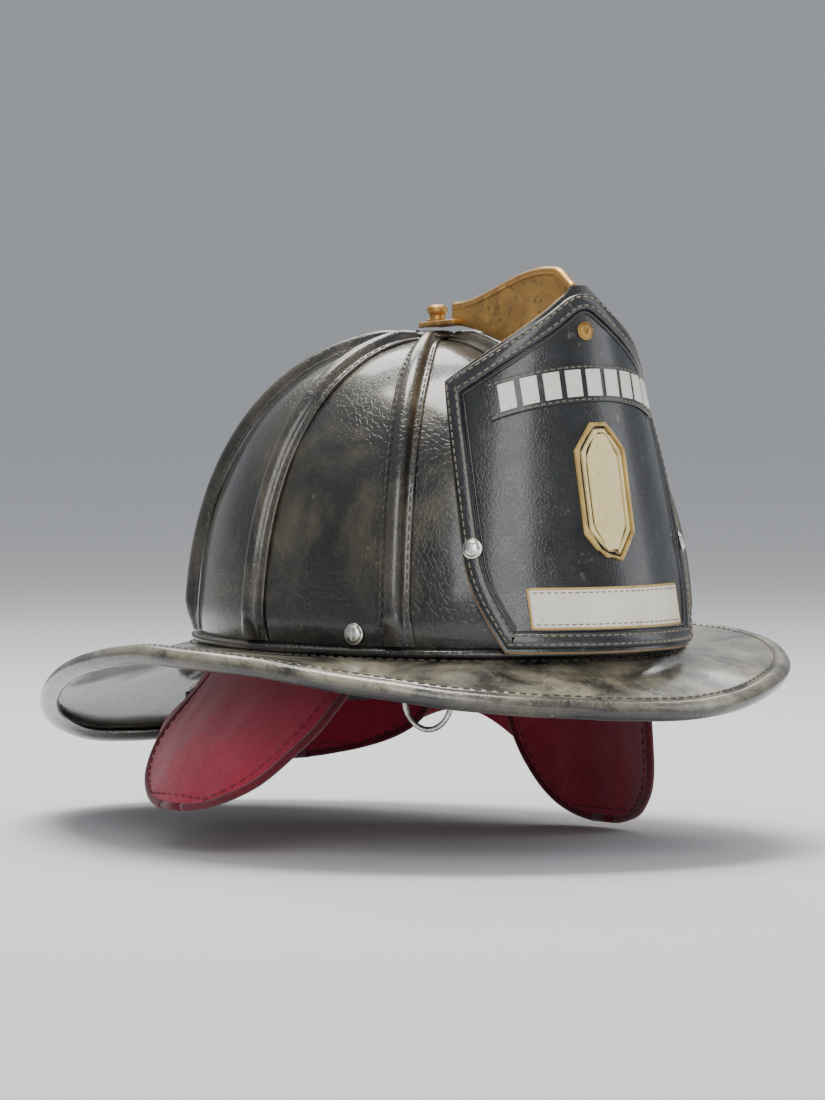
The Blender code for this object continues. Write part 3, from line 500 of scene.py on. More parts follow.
def turned_mesh(profile, place, sides=40):
    """Points and faces of a turned solid. Each row of profile is its radius, its height and, where it
    isn't round, a function from the turn to what is cut off the radius."""
    points = []
    rows = []
    for radius, height, *cut in profile:
        count = 1 if radius == 0.0 else sides
        rows.append(list(range(len(points), len(points) + count)))
        for i in range(count):
            turn = math.tau * i / sides
            size = radius - cut[0](turn) if cut else radius
            points.append(place @ Vector((size * math.cos(turn), size * math.sin(turn), height)))
    faces = []
    for lower, upper in zip(rows, rows[1:]):
        if len(lower) == 1 or len(upper) == 1:
            tip, ring = (lower[0], upper) if len(lower) == 1 else (upper[0], lower)
            faces.extend((tip, ring[i], ring[(i + 1) % sides]) for i in range(sides))
        else:
            faces.extend(strip_quads(lower, upper, True))
    return points, faces


def facing(point, direction, guess=(0.0, 0.0, 1.0)):
    z_axis = Vector(direction).normalized()
    guess = Vector(guess)
    x_axis = (guess - z_axis * guess.dot(z_axis)).normalized()
    y_axis = z_axis.cross(x_axis)
    turn = Matrix((x_axis, y_axis, z_axis)).transposed()
    return Matrix.Translation(point) @ turn.to_4x4()


def stitches(name, lines, finish=THREAD, length=0.0030, gap=0.0012, radius=0.00042,
             body="shell"):
    """Rows of short thread stitches. Each line is a list of (point, outward direction)."""
    points = []
    faces = []
    for line in lines:
        walked = 0.0
        target = gap
        for (start, out), (end, _) in zip(line, line[1:]):
            span = (end - start).length
            if span < 1e-7:
                continue
            along = (end - start) / span
            side = out.cross(along).normalized()
            while walked + span > target:
                middle = start + along * (target - walked) + out * radius * 0.25
                rings = []
                for share, swell in ((-1.0, 0.35), (-0.7, 0.95), (0.7, 0.95), (1.0, 0.35)):
                    spot = middle + along * share * length / 2.0 - out * abs(share) ** 4 * radius * 0.8
                    rings.append([spot + (side * math.cos(a) + out * math.sin(a)) * radius * swell
                                  for a in full_turn(6)])
                more, quads = sweep_mesh(rings, first=len(points))
                points.extend(more)
                faces.extend(quads)
                target += length + gap
            walked += span
    return finished(name, (points, faces), finish, body=body)


def tube_along(name, route, radius, finish, closed=False, sides=10, node=None, body="shell"):
    """A round cord or bead along (point, outward direction) pairs."""
    rings = []
    count = len(route)
    for i, (point, out) in enumerate(route):
        before = route[i - 1][0] if (i or closed) else point
        after = route[(i + 1) % count][0] if (i < count - 1 or closed) else point
        along = (after - before).normalized()
        side = along.cross(out).normalized()
        up = side.cross(along).normalized()
        rings.append([point + (side * math.cos(a) + up * math.sin(a)) * radius for a in full_turn(sides)])
    return finished(name, sweep_mesh(rings, closed), finish, node, body=body)


# ---------------------------------------------------------------- crown

def crown_ratio(height, top):
    """The crown's size at a height, as a share of its size at the foot."""
    inside = min(max(height, 0.0) / top, 1.0)
    ratio = (1.0 - inside ** CROWN_POWER) ** (1.0 / CROWN_POWER)
    low = min(max(1.0 - height / PINCH_HEIGHT, 0.0), 1.0)
    return ratio * (1.0 - FOOT_PINCH * low * low)


def crown_point(theta, height, inset=0.0):
    ratio = crown_ratio(height, CROWN_HEIGHT - inset)
    return Vector(((CROWN_WIDTH - inset) * ratio * math.sin(theta),
                   -(CROWN_LENGTH - inset) * ratio * math.cos(theta), height))


def crown_normal(point):
    reach = math.hypot(point.x / CROWN_WIDTH, point.y / CROWN_LENGTH)
    side = reach ** (CROWN_POWER - 2.0)
    up = (max(point.z, 0.0) / CROWN_HEIGHT) ** (CROWN_POWER - 1.0) / CROWN_HEIGHT
    return Vector((side * point.x / CROWN_WIDTH ** 2, side * point.y / CROWN_LENGTH ** 2, up)).normalized()


def crown_height(turn, inset=0.0):
    return (CROWN_HEIGHT - inset) * math.sin(turn) ** (2.0 / CROWN_POWER)


def turn_of(height):
    return math.asin((height / CROWN_HEIGHT) ** (CROWN_POWER / 2.0))


def turn_of_ratio(ratio):
    return math.acos(ratio ** (CROWN_POWER / 2.0))


def ellipse_speed(theta):
    return math.hypot(CROWN_LENGTH * math.sin(theta), CROWN_WIDTH * math.cos(theta))


def comb_theta(number):
    plan = math.tau * number / COMB_COUNT
    return math.atan2(math.sin(plan) / CROWN_WIDTH, math.cos(plan) / CROWN_LENGTH)


def plan_wave(theta):
    """0 under each comb and 1 midway between two."""
    plan = math.atan2(CROWN_WIDTH * math.sin(theta), CROWN_LENGTH * math.cos(theta))
    return math.sin(plan * COMB_COUNT / 2.0) ** 2


def build_crown():
    names = ("front_left", "rear_left", "rear_right", "front_right")
    heights = [CROWN_FOOT, 0.001, 0.004] + [crown_height(a) for a in
                                           between(turn_of(0.008), turn_of_ratio(0.07), 52)]
    for quarter, word in enumerate(names):
        thetas = [(quarter + k / 44) * math.pi / 2.0 for k in range(45)]
        thetas[0] += 0.0018
        thetas[-1] -= 0.0018
        outer = []
        inner = []
        for height in heights:
            out_row = []
            in_row = []
            for theta in thetas:
                spot = crown_point(theta, height)
                level = smooth(height / 0.03) * smooth((CROWN_HEIGHT - height) / 0.02)
                dent = noise.noise(spot * 26.0) * 0.0005 + noise.noise(spot * 75.0) * 0.00016
                swell = (0.0009 * plan_wave(theta) - 0.0003) * level + dent * level
                out_row.append(spot + crown_normal(spot) * swell)
                in_row.append(crown_point(theta, min(height, (CROWN_HEIGHT - LEATHER) * 0.998), LEATHER))
            outer.append(out_row)
            inner.append(in_row)
        finished("crown_leather_" + word, slab_mesh(outer, inner), BLACK,
                 "crown_panel_" + word, 50)


COMB_OUTLINE = ((-7.4, 0.0), (-7.3, 0.75), (-6.6, 1.05), (-5.2, 1.15), (-4.5, 1.45), (-4.0, 2.5),
                (-3.2, 3.9), (-1.9, 4.9), (0.0, 5.3), (1.9, 4.9), (3.2, 3.9), (4.0, 2.5), (4.5, 1.45),
                (5.2, 1.15), (6.6, 1.05), (7.3, 0.75), (7.4, 0.0), (3.7, 0.0), (0.0, 0.0), (-3.7, 0.0))


def comb_spot(centre, turn, across, up):
    """A point on or over a comb's strip; across and up are in metres."""
    height = crown_height(turn)
    ratio = max(crown_ratio(height, CROWN_HEIGHT), 0.03)
    foot = crown_point(centre + across / (ellipse_speed(centre) * ratio), height)
    return foot + crown_normal(foot) * (0.0003 + up), crown_normal(foot)


def comb_scale(turn):
    """How wide a comb is: full over the sides, narrow where all eight meet, flared at the foot."""
    ratio = crown_ratio(crown_height(turn), CROWN_HEIGHT)
    flare = 0.28 * (1.0 - smooth((crown_height(turn) - COMB_FOOT) / 0.016))
    return 0.50 + 0.50 * smooth(ratio * 1.7) + flare


def build_combs():
    names = ("comb_front", "comb_front_left", "comb_left", "comb_rear_left",
             "comb_rear", "comb_rear_right", "comb_right", "comb_front_right")
    turns = between(turn_of(COMB_FOOT), turn_of_ratio(0.122), 64)
    lines = []
    for number, node in enumerate(names):
        centre = comb_theta(number)
        rings = []
        for k, turn in enumerate(turns):
            width = comb_scale(turn) * 0.001
            rise = 0.001 * (0.55 + 0.45 * smooth(k / 3.0)) * (0.7 + 0.3 * smooth((63 - k) / 4.0))
            rings.append([comb_spot(centre, turn, x * width, y * rise)[0] for x, y in COMB_OUTLINE])
        finished(node + "_leather", sweep_mesh(rings), COMB_BLACK, node, 60)
        for side in (-1.0, 1.0):
            lines.append([comb_spot(centre, turn, side * 0.0060 * comb_scale(turn), 0.00112)
                          for turn in turns[2:-8]])
    stitches("comb_stitching", lines, DARK_THREAD)


def build_crown_cap():
    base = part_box("crown_cap")[0].z
    profile = [(0.0, 0.0), (0.0098, 0.0), (0.0105, 0.0005), (0.0105, 0.0012), (0.0098, 0.0021),
               (0.0080, 0.0026), (0.0060, 0.0031), (0.0, 0.0032)]
    shape = turned_mesh(profile, Matrix.Translation((0.0, 0.0, base)), 48)
    finished("crown_cap_leather", shape, COMB_BLACK, "crown_cap", 60)


def build_welt():
    outline = ((0.0003, 0.0021), (0.0036, 0.0021), (0.0044, 0.0025), (0.0047, 0.0034), (0.0043, 0.0044),
               (0.0034, 0.0052), (0.0020, 0.0058), (0.0003, 0.0060))
    rings = [[crown_point(theta, height, -out) for out, height in outline] for theta in full_turn(220)]
    finished("crown_welt_leather", sweep_mesh(rings, True), COMB_BLACK, "crown_welt")
    line = []
    for theta in full_turn(360):
        spot = crown_point(theta, 0.0047, -0.0041)
        out = Vector((spot.x, spot.y, 0.0)).normalized()
        line.append((spot, (out + Vector((0.0, 0.0, 0.9))).normalized()))
    stitches("welt_stitching", [line + line[:1]], DARK_THREAD, length=0.0034)


# ---------------------------------------------------------------- brim

def brim_outline(theta):
    front = math.cos(theta) >= 0.0
    reach = (BRIM_FRONT if front else BRIM_REAR) - ROLL_OUTER
    taper = 1.0 if front else 1.0 - REAR_TAPER * math.sin(2.0 * theta) ** 2
    return Vector(((BRIM_SIDE - ROLL_OUTER) * math.sin(theta) * taper, -reach * math.cos(theta), 0.0))


def brim_drop(theta):
    front = math.cos(theta) >= 0.0
    most = DROOP_FRONT if front else DROOP_REAR
    return DROOP_SIDE + (most - DROOP_SIDE) * abs(math.cos(theta)) ** (2.0 if front else 1.7)


def brim_surface(theta, share, waver=True):
    foot = crown_point(theta, BRIM_TOP, -0.0008)
    flat = Vector((foot.x, foot.y, 0.0)).lerp(brim_outline(theta), share)
    flat.z = BRIM_TOP - brim_drop(theta) * share ** 1.25
    if waver:
        wave = noise.noise(flat * 14.0) * 0.0014 + noise.noise(flat * 45.0) * 0.0003
        flat.z += wave * smooth(share * 1.4)
    return flat


def brim_frame(theta):
    step = 0.01
    along = brim_outline(theta + step) - brim_outline(theta - step)
    out = Vector((-along.y, along.x, 0.0)).normalized()
    if out.dot(brim_outline(theta)) < 0.0:
        out = -out
    near = brim_surface(theta, 0.9, False)
    edge = brim_surface(theta, 1.0, False)
    slope = math.atan2(edge.z - near.z, math.hypot(edge.x - near.x, edge.y - near.y))
    outward = out * math.cos(slope) + Vector((0.0, 0.0, math.sin(slope)))
    upward = -out * math.sin(slope) + Vector((0.0, 0.0, math.cos(slope)))
    return brim_surface(theta, 1.0) - upward * ROLL_OUTER, outward, upward


def build_brim():
    shares = between(0.0, 0.97, 15)
    rings = []
    for theta in full_turn(256):
        centre, outward, upward = brim_frame(theta)
        ring = [brim_surface(theta, share) for share in shares[:11] + [0.90, 0.93, 0.955, 0.97]]
        ring[-2] -= upward * 0.0007
        for radius, angles in ((ROLL_OUTER, range(90, -151, -16)), (ROLL_INNER, range(-150, 91, 30))):
            for angle in angles:
                turn = math.radians(angle)
                ring.append(centre + (outward * math.cos(turn) + upward * math.sin(turn)) * radius)
        for share in reversed(shares[:-1]):
            under = brim_surface(theta, share)
            under.z -= BRIM_LEATHER
            ring.append(under)
        rings.append(ring)
    finished("brim_leather", sweep_mesh(rings, closed=True), BRIM_BLACK, "brim", 70)
    lines = []
    for share in (0.925, 0.075):
        line = [(brim_surface(theta, share), brim_frame(theta)[2]) for theta in full_turn(420)]
        lines.append(line + line[:1])
    stitches("brim_stitching", lines, DARK_THREAD, length=0.0034, gap=0.0014)
    route = [brim_frame(theta)[::2] for theta in full_turn(160)]
    tube_along("brim_wire_core", route, 0.0011, WIRE, True, 8, "brim_wire")


# ---------------------------------------------------------------- shield

def shield_point(across, height, off):
    share = min(max((height - SHIELD_FOOT) / (SHIELD_TOP - SHIELD_FOOT), 0.0), 1.0)
    radius = SHIELD_FOOT_RADIUS - (SHIELD_FOOT_RADIUS - SHIELD_TOP_RADIUS) * share ** 1.6
    turn = across / radius
    front = SHIELD_FRONT - (height - SHIELD_FOOT) * SHIELD_LEAN - radius * (1.0 - math.cos(turn))
    x = radius * math.sin(turn)
    return Vector((x + off * math.sin(turn), -(front + off * math.cos(turn)), height + off * SHIELD_LEAN))


def shield_out(across, height):
    return (shield_point(across, height, 0.01) - shield_point(across, height, 0.0)).normalized()


def shield_half_width(height):
    if height <= SHIELD_WAIST:
        share = (height - SHIELD_FOOT) / (SHIELD_WAIST - SHIELD_FOOT)
        return SHIELD_FOOT_WIDTH + (SHIELD_WIDTH - SHIELD_FOOT_WIDTH) * math.sin(share * math.pi / 2.0)
    if height <= SHIELD_SHOULDER:
        return SHIELD_WIDTH
    share = (height - SHIELD_SHOULDER) / (SHIELD_TOP - SHIELD_SHOULDER)
    tip = 0.0035
    return tip + (SHIELD_WIDTH - tip) * (1.0 - share) ** 1.19


def banner_drop(across):
    """How far the banner's arch has come down from its middle."""
    return BANNER_ARCH * (across / BANNER_HALF_WIDTH) ** 2


def shield_sheet(name, half_width, heights, low, thick, finish, node=None, arched=False, columns=64,
                 swell=0.0, rounding=0.0004, middle=0.0):
    """A sheet of leather on the shield. half_width is a number or a function of the height, and swell
    raises the middle of its face."""
    grids = []
    for level, raised in ((low + thick, swell), (low, 0.0)):
        grid = []
        for i, height in enumerate(heights):
            row = []
            vertical = math.sin(math.pi * i / (len(heights) - 1))
            width = half_width(height) if callable(half_width) else half_width
            for share in between(-1.0, 1.0, columns + 1):
                across = middle + share * width
                drop = banner_drop(across) if arched else 0.0
                crown = raised * vertical * math.cos(share * math.pi / 2.0)
                row.append(shield_point(across, height - drop, level + crown))
            grid.append(row)
        grids.append(grid)
    round_edges(finished(name, slab_mesh(*grids), finish, node, 40), rounding)


def shield_outline(inset):
    """The shield's outline as (across, height), moved inwards, once round."""
    heights = (between(SHIELD_FOOT, SHIELD_WAIST, 16) + between(SHIELD_WAIST, SHIELD_SHOULDER, 16)[1:]
               + between(SHIELD_SHOULDER, SHIELD_TOP - 0.006, 26)[1:])
    right = [(shield_half_width(height), height) for height in heights]
    bottom = [(x, SHIELD_FOOT) for x in between(-SHIELD_FOOT_WIDTH, SHIELD_FOOT_WIDTH, 33)[1:-1]]
    top_half, top_level = right[-1]
    top = [(x, top_level + 0.0035 * (1.0 - (x / top_half) ** 2))
           for x in between(top_half, -top_half, 13)[1:-1]]
    loop = right + top + [(-x, height) for x, height in reversed(right)] + bottom
    moved = []
    for i, spot in enumerate(loop):
        here = Vector(spot)
        first = (here - Vector(loop[i - 1])).normalized()
        second = (Vector(loop[(i + 1) % len(loop)]) - here).normalized()
        inward = (Vector((-first.y, first.x)) + Vector((-second.y, second.x))).normalized()
        moved.append(here + inward * inset / max(inward.dot(Vector((-first.y, first.x))), 0.6))
    return moved


def shield_line(inset, off):
    loop = shield_outline(inset)
    return [(shield_point(x, z, off), shield_out(x, z)) for x, z in loop + loop[:1]]


def shield_row(half_width, height, off, count, arched=False):
    """Points across the shield with their outward directions, for a line of stitches."""
    row = []
    for x in between(-half_width, half_width, count):
        drop = banner_drop(x) if arched else 0.0
        row.append((shield_point(x, height - drop, off), shield_out(x, height)))
    return row


def plaque_loop(shrink):
    """The plaque's outline as (across, height), moved inwards by shrink."""
    corners = []
    for side, end in ((1, -1), (1, 1), (-1, 1), (-1, -1)):
        pair = [(side * (PLAQUE_HALF_WIDTH - shrink), PLAQUE_LEVEL + end * (0.0177 - shrink * 0.35)),
                (side * (0.0040 - shrink * 0.45), PLAQUE_LEVEL + end * (PLAQUE_REACH - shrink))]
        corners.extend(pair if end == 1 and side == 1 or end == -1 and side == -1 else reversed(pair))
    loop = []
    for start, end in zip(corners, corners[1:] + corners[:1]):
        steps = max(int((Vector(end) - Vector(start)).length / 0.0015), 2)
        loop.extend([Vector(start).lerp(Vector(end), k / steps) for k in range(steps)])
    return loop


def strip_on_shield(name, outer, inner, thick, finish, node=None):
    """A raised leather band between two outlines that have the same number of points."""
    low = SHIELD_FACE
    rings = []
    for far, near in zip(outer, inner):
        third = (far - near) * 0.18
        rings.append([shield_point(*far, low), shield_point(*far, low + thick * 0.55),
                      shield_point(*(far - third), low + thick), shield_point(*(near + third), low + thick),
                      shield_point(*near, low + thick * 0.55), shield_point(*near, low)])
    finished(name, sweep_mesh(rings, closed=True), finish, node, 60)


def build_shield():
    heights = (between(SHIELD_FOOT, SHIELD_WAIST, 14) + between(SHIELD_WAIST, SHIELD_SHOULDER, 16)[1:]
               + between(SHIELD_SHOULDER, SHIELD_TOP, 26)[1:])
    shield_sheet("shield_face_leather", shield_half_width, heights, 0.0006, SHIELD_LEATHER - 0.0006,
                 SHIELD_BLACK, "shield_base")

    def back_half_width(height):
        return shield_half_width(height) - 0.0005

    shield_sheet("shield_back_leather", back_half_width, heights[:-1], 0.0, 0.0005, RAW_LEATHER,
                 rounding=0.0001)
    edge = shield_line(0.0001, 0.0012)[:-1]
    tube_along("shield_raw_edge", edge, 0.0008, RAW_LEATHER, True, 8)
    strip_on_shield("shield_border_leather", shield_outline(0.0012), shield_outline(0.0078),
                    BORDER_LEATHER, SHIELD_BLACK, "shield_border")
    face = SHIELD_FACE + BORDER_LEATHER
    stitches("shield_border_stitching", [shield_line(0.0027, face), shield_line(0.0064, face)], THREAD,
             0.0026, 0.0010, 0.00036)
    bead = shield_line(0.0090, SHIELD_FACE)[:-1]
    tube_along("shield_inner_bead", bead, 0.0007, SHIELD_BLACK, True, 8)


def build_banner():
    face = SHIELD_FACE + BANNER_LEATHER
    shield_sheet("shield_banner_leather", BANNER_HALF_WIDTH, between(0.1105, 0.1260, 9), SHIELD_FACE,
                 BANNER_LEATHER, SHIELD_BLACK, "shield_banner", True)
    for k in range(BLOCK_COUNT):
        middle = (k - (BLOCK_COUNT - 1) / 2.0) * BLOCK_PITCH
        shield_sheet(f"banner_block_{k + 1}", 0.0034, between(0.1126, 0.1240, 7), face, 0.0009, WHITE,
                     arched=True, columns=6, middle=middle, rounding=0.0003)
    lines = [shield_row(0.044, height, face, 60, True) for height in (0.1114, 0.1252)]
    stitches("banner_stitching", lines, THREAD, 0.0022, 0.0009, 0.0003)


def build_plaque():
    for name, outside, inside, finish in (("plaque_outline", 0.0, 0.0017, GOLD),
                                          ("plaque_second_outline", 0.0028, 0.0042, PALE_GOLD)):
        strip_on_shield(name, plaque_loop(outside), plaque_loop(inside), 0.0015, finish)
    reach = 0.0245

    def half_width(height):
        """Even over most of the height, then narrowing to the blunt tips."""
        share = abs(height - PLAQUE_LEVEL) / reach
        return 0.0075 if share < 0.6 else 0.0075 - 0.0051 * (share - 0.6) / 0.4

    heights = [PLAQUE_LEVEL + reach * share for share in between(-1.0, 1.0, 29)]
    shield_sheet("shield_plaque_leather", half_width, heights, SHIELD_FACE, 0.0013, PALE_GOLD,
                 "shield_plaque", columns=16, swell=0.0004)


def build_name_panel():
    """The blank panel with its gold frame and stitching."""
    shield_sheet("shield_name_panel_leather", PANEL_HALF_WIDTH, between(PANEL_FOOT, PANEL_TOP, 13),
                 SHIELD_FACE, 0.0010, CREAM, "shield_name_panel", swell=0.0003)
    edge = PANEL_HALF_WIDTH + 0.0004
    middle = (PANEL_FOOT + PANEL_TOP) / 2.0
    route = []
    for x, z in ([(x, PANEL_FOOT - 0.0004) for x in between(-edge, edge, 40)] + [(edge, middle)]
                 + [(x, PANEL_TOP + 0.0004) for x in between(edge, -edge, 40)] + [(-edge, middle)]):
        route.append((shield_point(x, z, SHIELD_FACE + 0.0004), shield_out(x, z)))
    tube_along("name_panel_frame", route, 0.0006, GOLD, True, 8)
    lines = [shield_row(0.0376, height, SHIELD_FACE + 0.00105, 50)
             for height in (PANEL_FOOT + 0.0013, PANEL_TOP - 0.0013)]
    stitches("name_panel_stitching", lines, THREAD, 0.0022, 0.0009, 0.00028)


def domed_screw(node, head_name, place, radius, dome, finish):
    """A slotted screw head on its washer: the origin of place is where the head meets the leather."""
    profile = [(0.0, 0.0), (radius, 0.0), (radius * 1.02, dome * 0.18), (radius * 0.96, dome * 0.42),
               (radius * 0.78, dome * 0.74), (radius * 0.5, dome * 0.93), (radius * 0.2, dome), (0.0, dome)]
    head = finished(head_name, turned_mesh(profile, place), finish, node, 50)
    ring = [(0.0, -0.0003), (radius * 1.22, -0.0003), (radius * 1.25, 0.0001), (radius * 1.15, 0.0004),
            (0.0, 0.0004)]
    finished(head_name + "_washer", turned_mesh(ring, place), finish)
    corners = [place @ Vector((x * 0.80 * radius, y * 0.09 * radius, z * dome + 0.0001))
               for z in (0.7, 1.02) for x, y in ((-1, -1), (1, -1), (1, 1), (-1, 1))]
    box = [(0, 1, 2, 3), (4, 5, 6, 7), (0, 1, 5, 4), (1, 2, 6, 5), (2, 3, 7, 6), (3, 0, 4, 7)]
    blade = plain_piece(head_name + "_slot", (corners, box))
    cut = head.modifiers.new("slot", "BOOLEAN")
    cut.object = blade
    cut.operation = "DIFFERENCE"
    bpy.context.view_layer.objects.active = head
    with bpy.context.temp_override(object=head, active_object=head, selected_objects=[head]):
        bpy.ops.object.modifier_apply(modifier="slot")
    bpy.data.objects.remove(blade, do_unlink=True)


def build_screws():
    for side, word in ((-1, "right"), (1, "left")):
        across = side * (SHIELD_WIDTH - 0.0050)
        seat = shield_point(across, SHIELD_SCREW_LEVEL, SHIELD_FACE + 0.0021)
        place = facing(seat, shield_out(across, SHIELD_SCREW_LEVEL), (0.3, 0.1, 1.0))
        domed_screw("shield_screw_" + word, "shield_screw_head_" + word, place, 0.0036, 0.0018, BRIGHT)
        spot = crown_point(math.radians(side * 61), LINER_SCREW_LEVEL)
        out = crown_normal(spot)
        place = facing(spot + out * 0.0007, Vector((out.x, out.y, 0.0)), (0.5, 0.2, 0.7))
        domed_screw("liner_screw_" + word, "liner_screw_head_" + word, place, 0.0038, 0.0019, BRIGHT)
    seat = shield_point(0.0, HOLDER_SCREW_LEVEL, SHIELD_FACE)
    place = facing(seat, shield_out(0.0, HOLDER_SCREW_LEVEL), (0.6, 0.0, 1.0))
    domed_screw("holder_screw", "holder_screw_head", place, 0.0033, 0.0017, BRASS)


# ---------------------------------------------------------------- front holder

def holder_floor(front):
    out = 0.0066
    share = min(abs(front) / (CROWN_LENGTH + out), 1.0)
    return (CROWN_HEIGHT + out) * (1.0 - share ** CROWN_POWER) ** (1.0 / CROWN_POWER)


def shield_back(height):
    return SHIELD_FRONT - (height - SHIELD_FOOT) * SHIELD_LEAN - 0.0013


def holder_top(front):
    """The sweep of the holder's upper edge, from its foot up to the shield."""
    rise = 0.1500 + 0.0162 * smooth((front - 0.012) / 0.072)
    return rise - 0.0082 * smooth((front - 0.088) / 0.017)


def build_holder():
    """The ribbed web between the crown and the shield, its rim, its foot and flange, and its bolt."""
    stations = 60
    start = 0.014
    rings = []
    bead = []
    for k in range(stations + 1):
        share = k / stations
        low_front = start + (0.0890 - start) * share
        low = holder_floor(low_front)
        if share > 0.86:
            low = low + (0.128 - low) * smooth((share - 0.86) / 0.14)
        top_front = start + (shield_back(0.1585) - 0.0006 - start) * share
        top = holder_top(top_front)
        rib = 0.5 + 0.5 * math.cos(share * math.pi * 14.0)
        ring = []
        for side in (-1.0, 1.0):
            column = between(0.0, 1.0, 14)
            for level in (column if side < 0 else reversed(column)):
                front = low_front + (top_front - low_front) * level
                body = math.sin(math.pi * min(max(level, 0.0), 1.0)) ** 0.5
                ribbed = rib * smooth(level * 3.0) * smooth((0.92 - level) * 6.0)
                half = 0.0011 + 0.0007 * body + 0.0004 * ribbed
                ring.append(Vector((side * half, -front, low + (top - low) * level)))
        rings.append(ring)
        bead.append((Vector((0.0, -top_front, top)), Vector((0.0, 0.0, 1.0))))
    finished("front_holder_web", sweep_mesh(rings), BRASS, "front_holder", 50)
    tube_along("front_holder_rim", bead, 0.0022, BRASS, False, 12)
    foot = [(-0.0065, 0.1405), (0.0200, 0.1425), (0.0200, 0.1450), (-0.0065, 0.1430)]
    flange = [(shield_back(0.1325), 0.1325), (shield_back(0.150), 0.150),
              (shield_back(0.150) - 0.0022, 0.150), (shield_back(0.1325) - 0.0022, 0.1325)]
    for name, outline, half in (("front_holder_foot", foot, 0.006),
                                ("front_holder_flange", flange, 0.0075)):
        rings = [[Vector((x, -front, z)) for front, z in outline] for x in (-half, half)]
        round_edges(finished(name, sweep_mesh(rings), BRASS, sharp=40), 0.0008, 4)
    profile = [(0.0, 0.0), (0.0048, 0.0), (0.0048, 0.0012), (0.0036, 0.0016), (0.0034, 0.0032),
               (0.0044, 0.0040), (0.0047, 0.0056), (0.0038, 0.0072), (0.0018, 0.0079), (0.0, 0.0080)]
    shape = turned_mesh(profile, Matrix.Translation((0.0, 0.0, 0.1432)))
    finished("holder_bolt_head", shape, BRASS, "holder_bolt", 50)


# ---------------------------------------------------------------- liner and suspension

def oval(theta, length, width, height):
    return Vector((width * math.sin(theta), -length * math.cos(theta), height))


def upright_band(name, outer, inner, low, high, finish, node, thetas=None, rounding=0.0005,
                 ripple=None):
    """A band between two ovals, given as (length, width), once round unless thetas says where it runs."""
    wrap = thetas is None
    thetas = thetas or full_turn(180)
    levels = between(low, high, 9)

    def spot(theta, size, z):
        push = ripple(theta, z) if ripple else 0.0
        return oval(theta, size[0] + push, size[1] + push, z)

    front, back = ([[spot(t, size, z) for t in thetas] for z in levels] for size in (outer, inner))
    round_edges(finished(name, slab_mesh(front, back, wrap), finish, node, 40), rounding)


def build_liner():
    heights = [0.0255] + [crown_height(a, 0.0125) for a in between(turn_of(0.031), turn_of_ratio(0.06), 34)]
    grids = []
    for inset in (0.0072, 0.0125):
        grid = []
        for height in heights:
            row = []
            for theta in full_turn(144):
                spot = crown_point(theta, height, inset)
                if inset > 0.01:
                    groove = max(math.cos(theta * 6.0), 0.0) ** 24 * 0.0016
                    spot += Vector((spot.x, spot.y, 0.0)).normalized() * groove
                row.append(spot)
            grid.append(row)
        grids.append(grid)
    poles = [Vector((0.0, 0.0, CROWN_HEIGHT - inset)) for inset in (0.0072, 0.0125)]
    shape = slab_mesh(*grids, True, poles)
    round_edges(finished("foam_liner_beads", shape, FOAM, "foam_liner", 60), 0.0008)


def build_bands():
    upright_band("headband_strip", (0.1025, 0.0805), (0.1010, 0.0790), 0.0, 0.026, PLASTIC,
                 "headband")

    def pleats(theta, z):
        return noise.noise(Vector((math.cos(theta) * 9.0, math.sin(theta) * 9.0, z * 60.0))) * 0.0004

    upright_band("sweatband_pad", (0.1006, 0.0786), (0.0984, 0.0764), -0.0012, 0.0272, SWEAT,
                 "sweatband", rounding=0.0009, ripple=pleats)
    for word, level in (("low", 0.0012), ("high", 0.0244)):
        line = []
        for theta in full_turn(360):
            spot = oval(theta, 0.0983, 0.0763, level)
            line.append((spot, -Vector((spot.x, spot.y, 0.0)).normalized()))
        stitches("sweatband_stitching_" + word, [line + line[:1]], THREAD, 0.0032)
    start, end = math.radians(58), math.radians(302)
    upright_band("flap_band_cloth", (0.1124, 0.0878), (0.1106, 0.0860), 0.004, 0.021, FLANNEL_DARK,
                 "flap_band", between(start, end, 150), 0.0006)


def carry(node, finish, rounding=0.0, segments=3):
    """A CAD node that keeps its shape and gets a better finish."""
    piece = NODES[node]
    piece.data.materials.clear()
    piece.data.materials.append(finish)
    if rounding:
        round_edges(piece, rounding, segments)


def build_straps():
    for word in ("a", "b", "c"):
        subdivide = NODES["crown_strap_" + word].modifiers.new("smooth", "SUBSURF")
        subdivide.subdivision_type = "SIMPLE"
        subdivide.levels = 1
        subdivide.render_levels = 1
        carry("crown_strap_" + word, WEBBING, 0.0003, 2)
    for number in range(6):
        carry(f"strap_key_{number + 1}", PLASTIC, 0.0005)


# ---------------------------------------------------------------- ratchet

def nape_point(psi, radius, height):
    return Vector((radius * math.sin(psi), NAPE_CENTRE + radius * math.cos(psi), height))


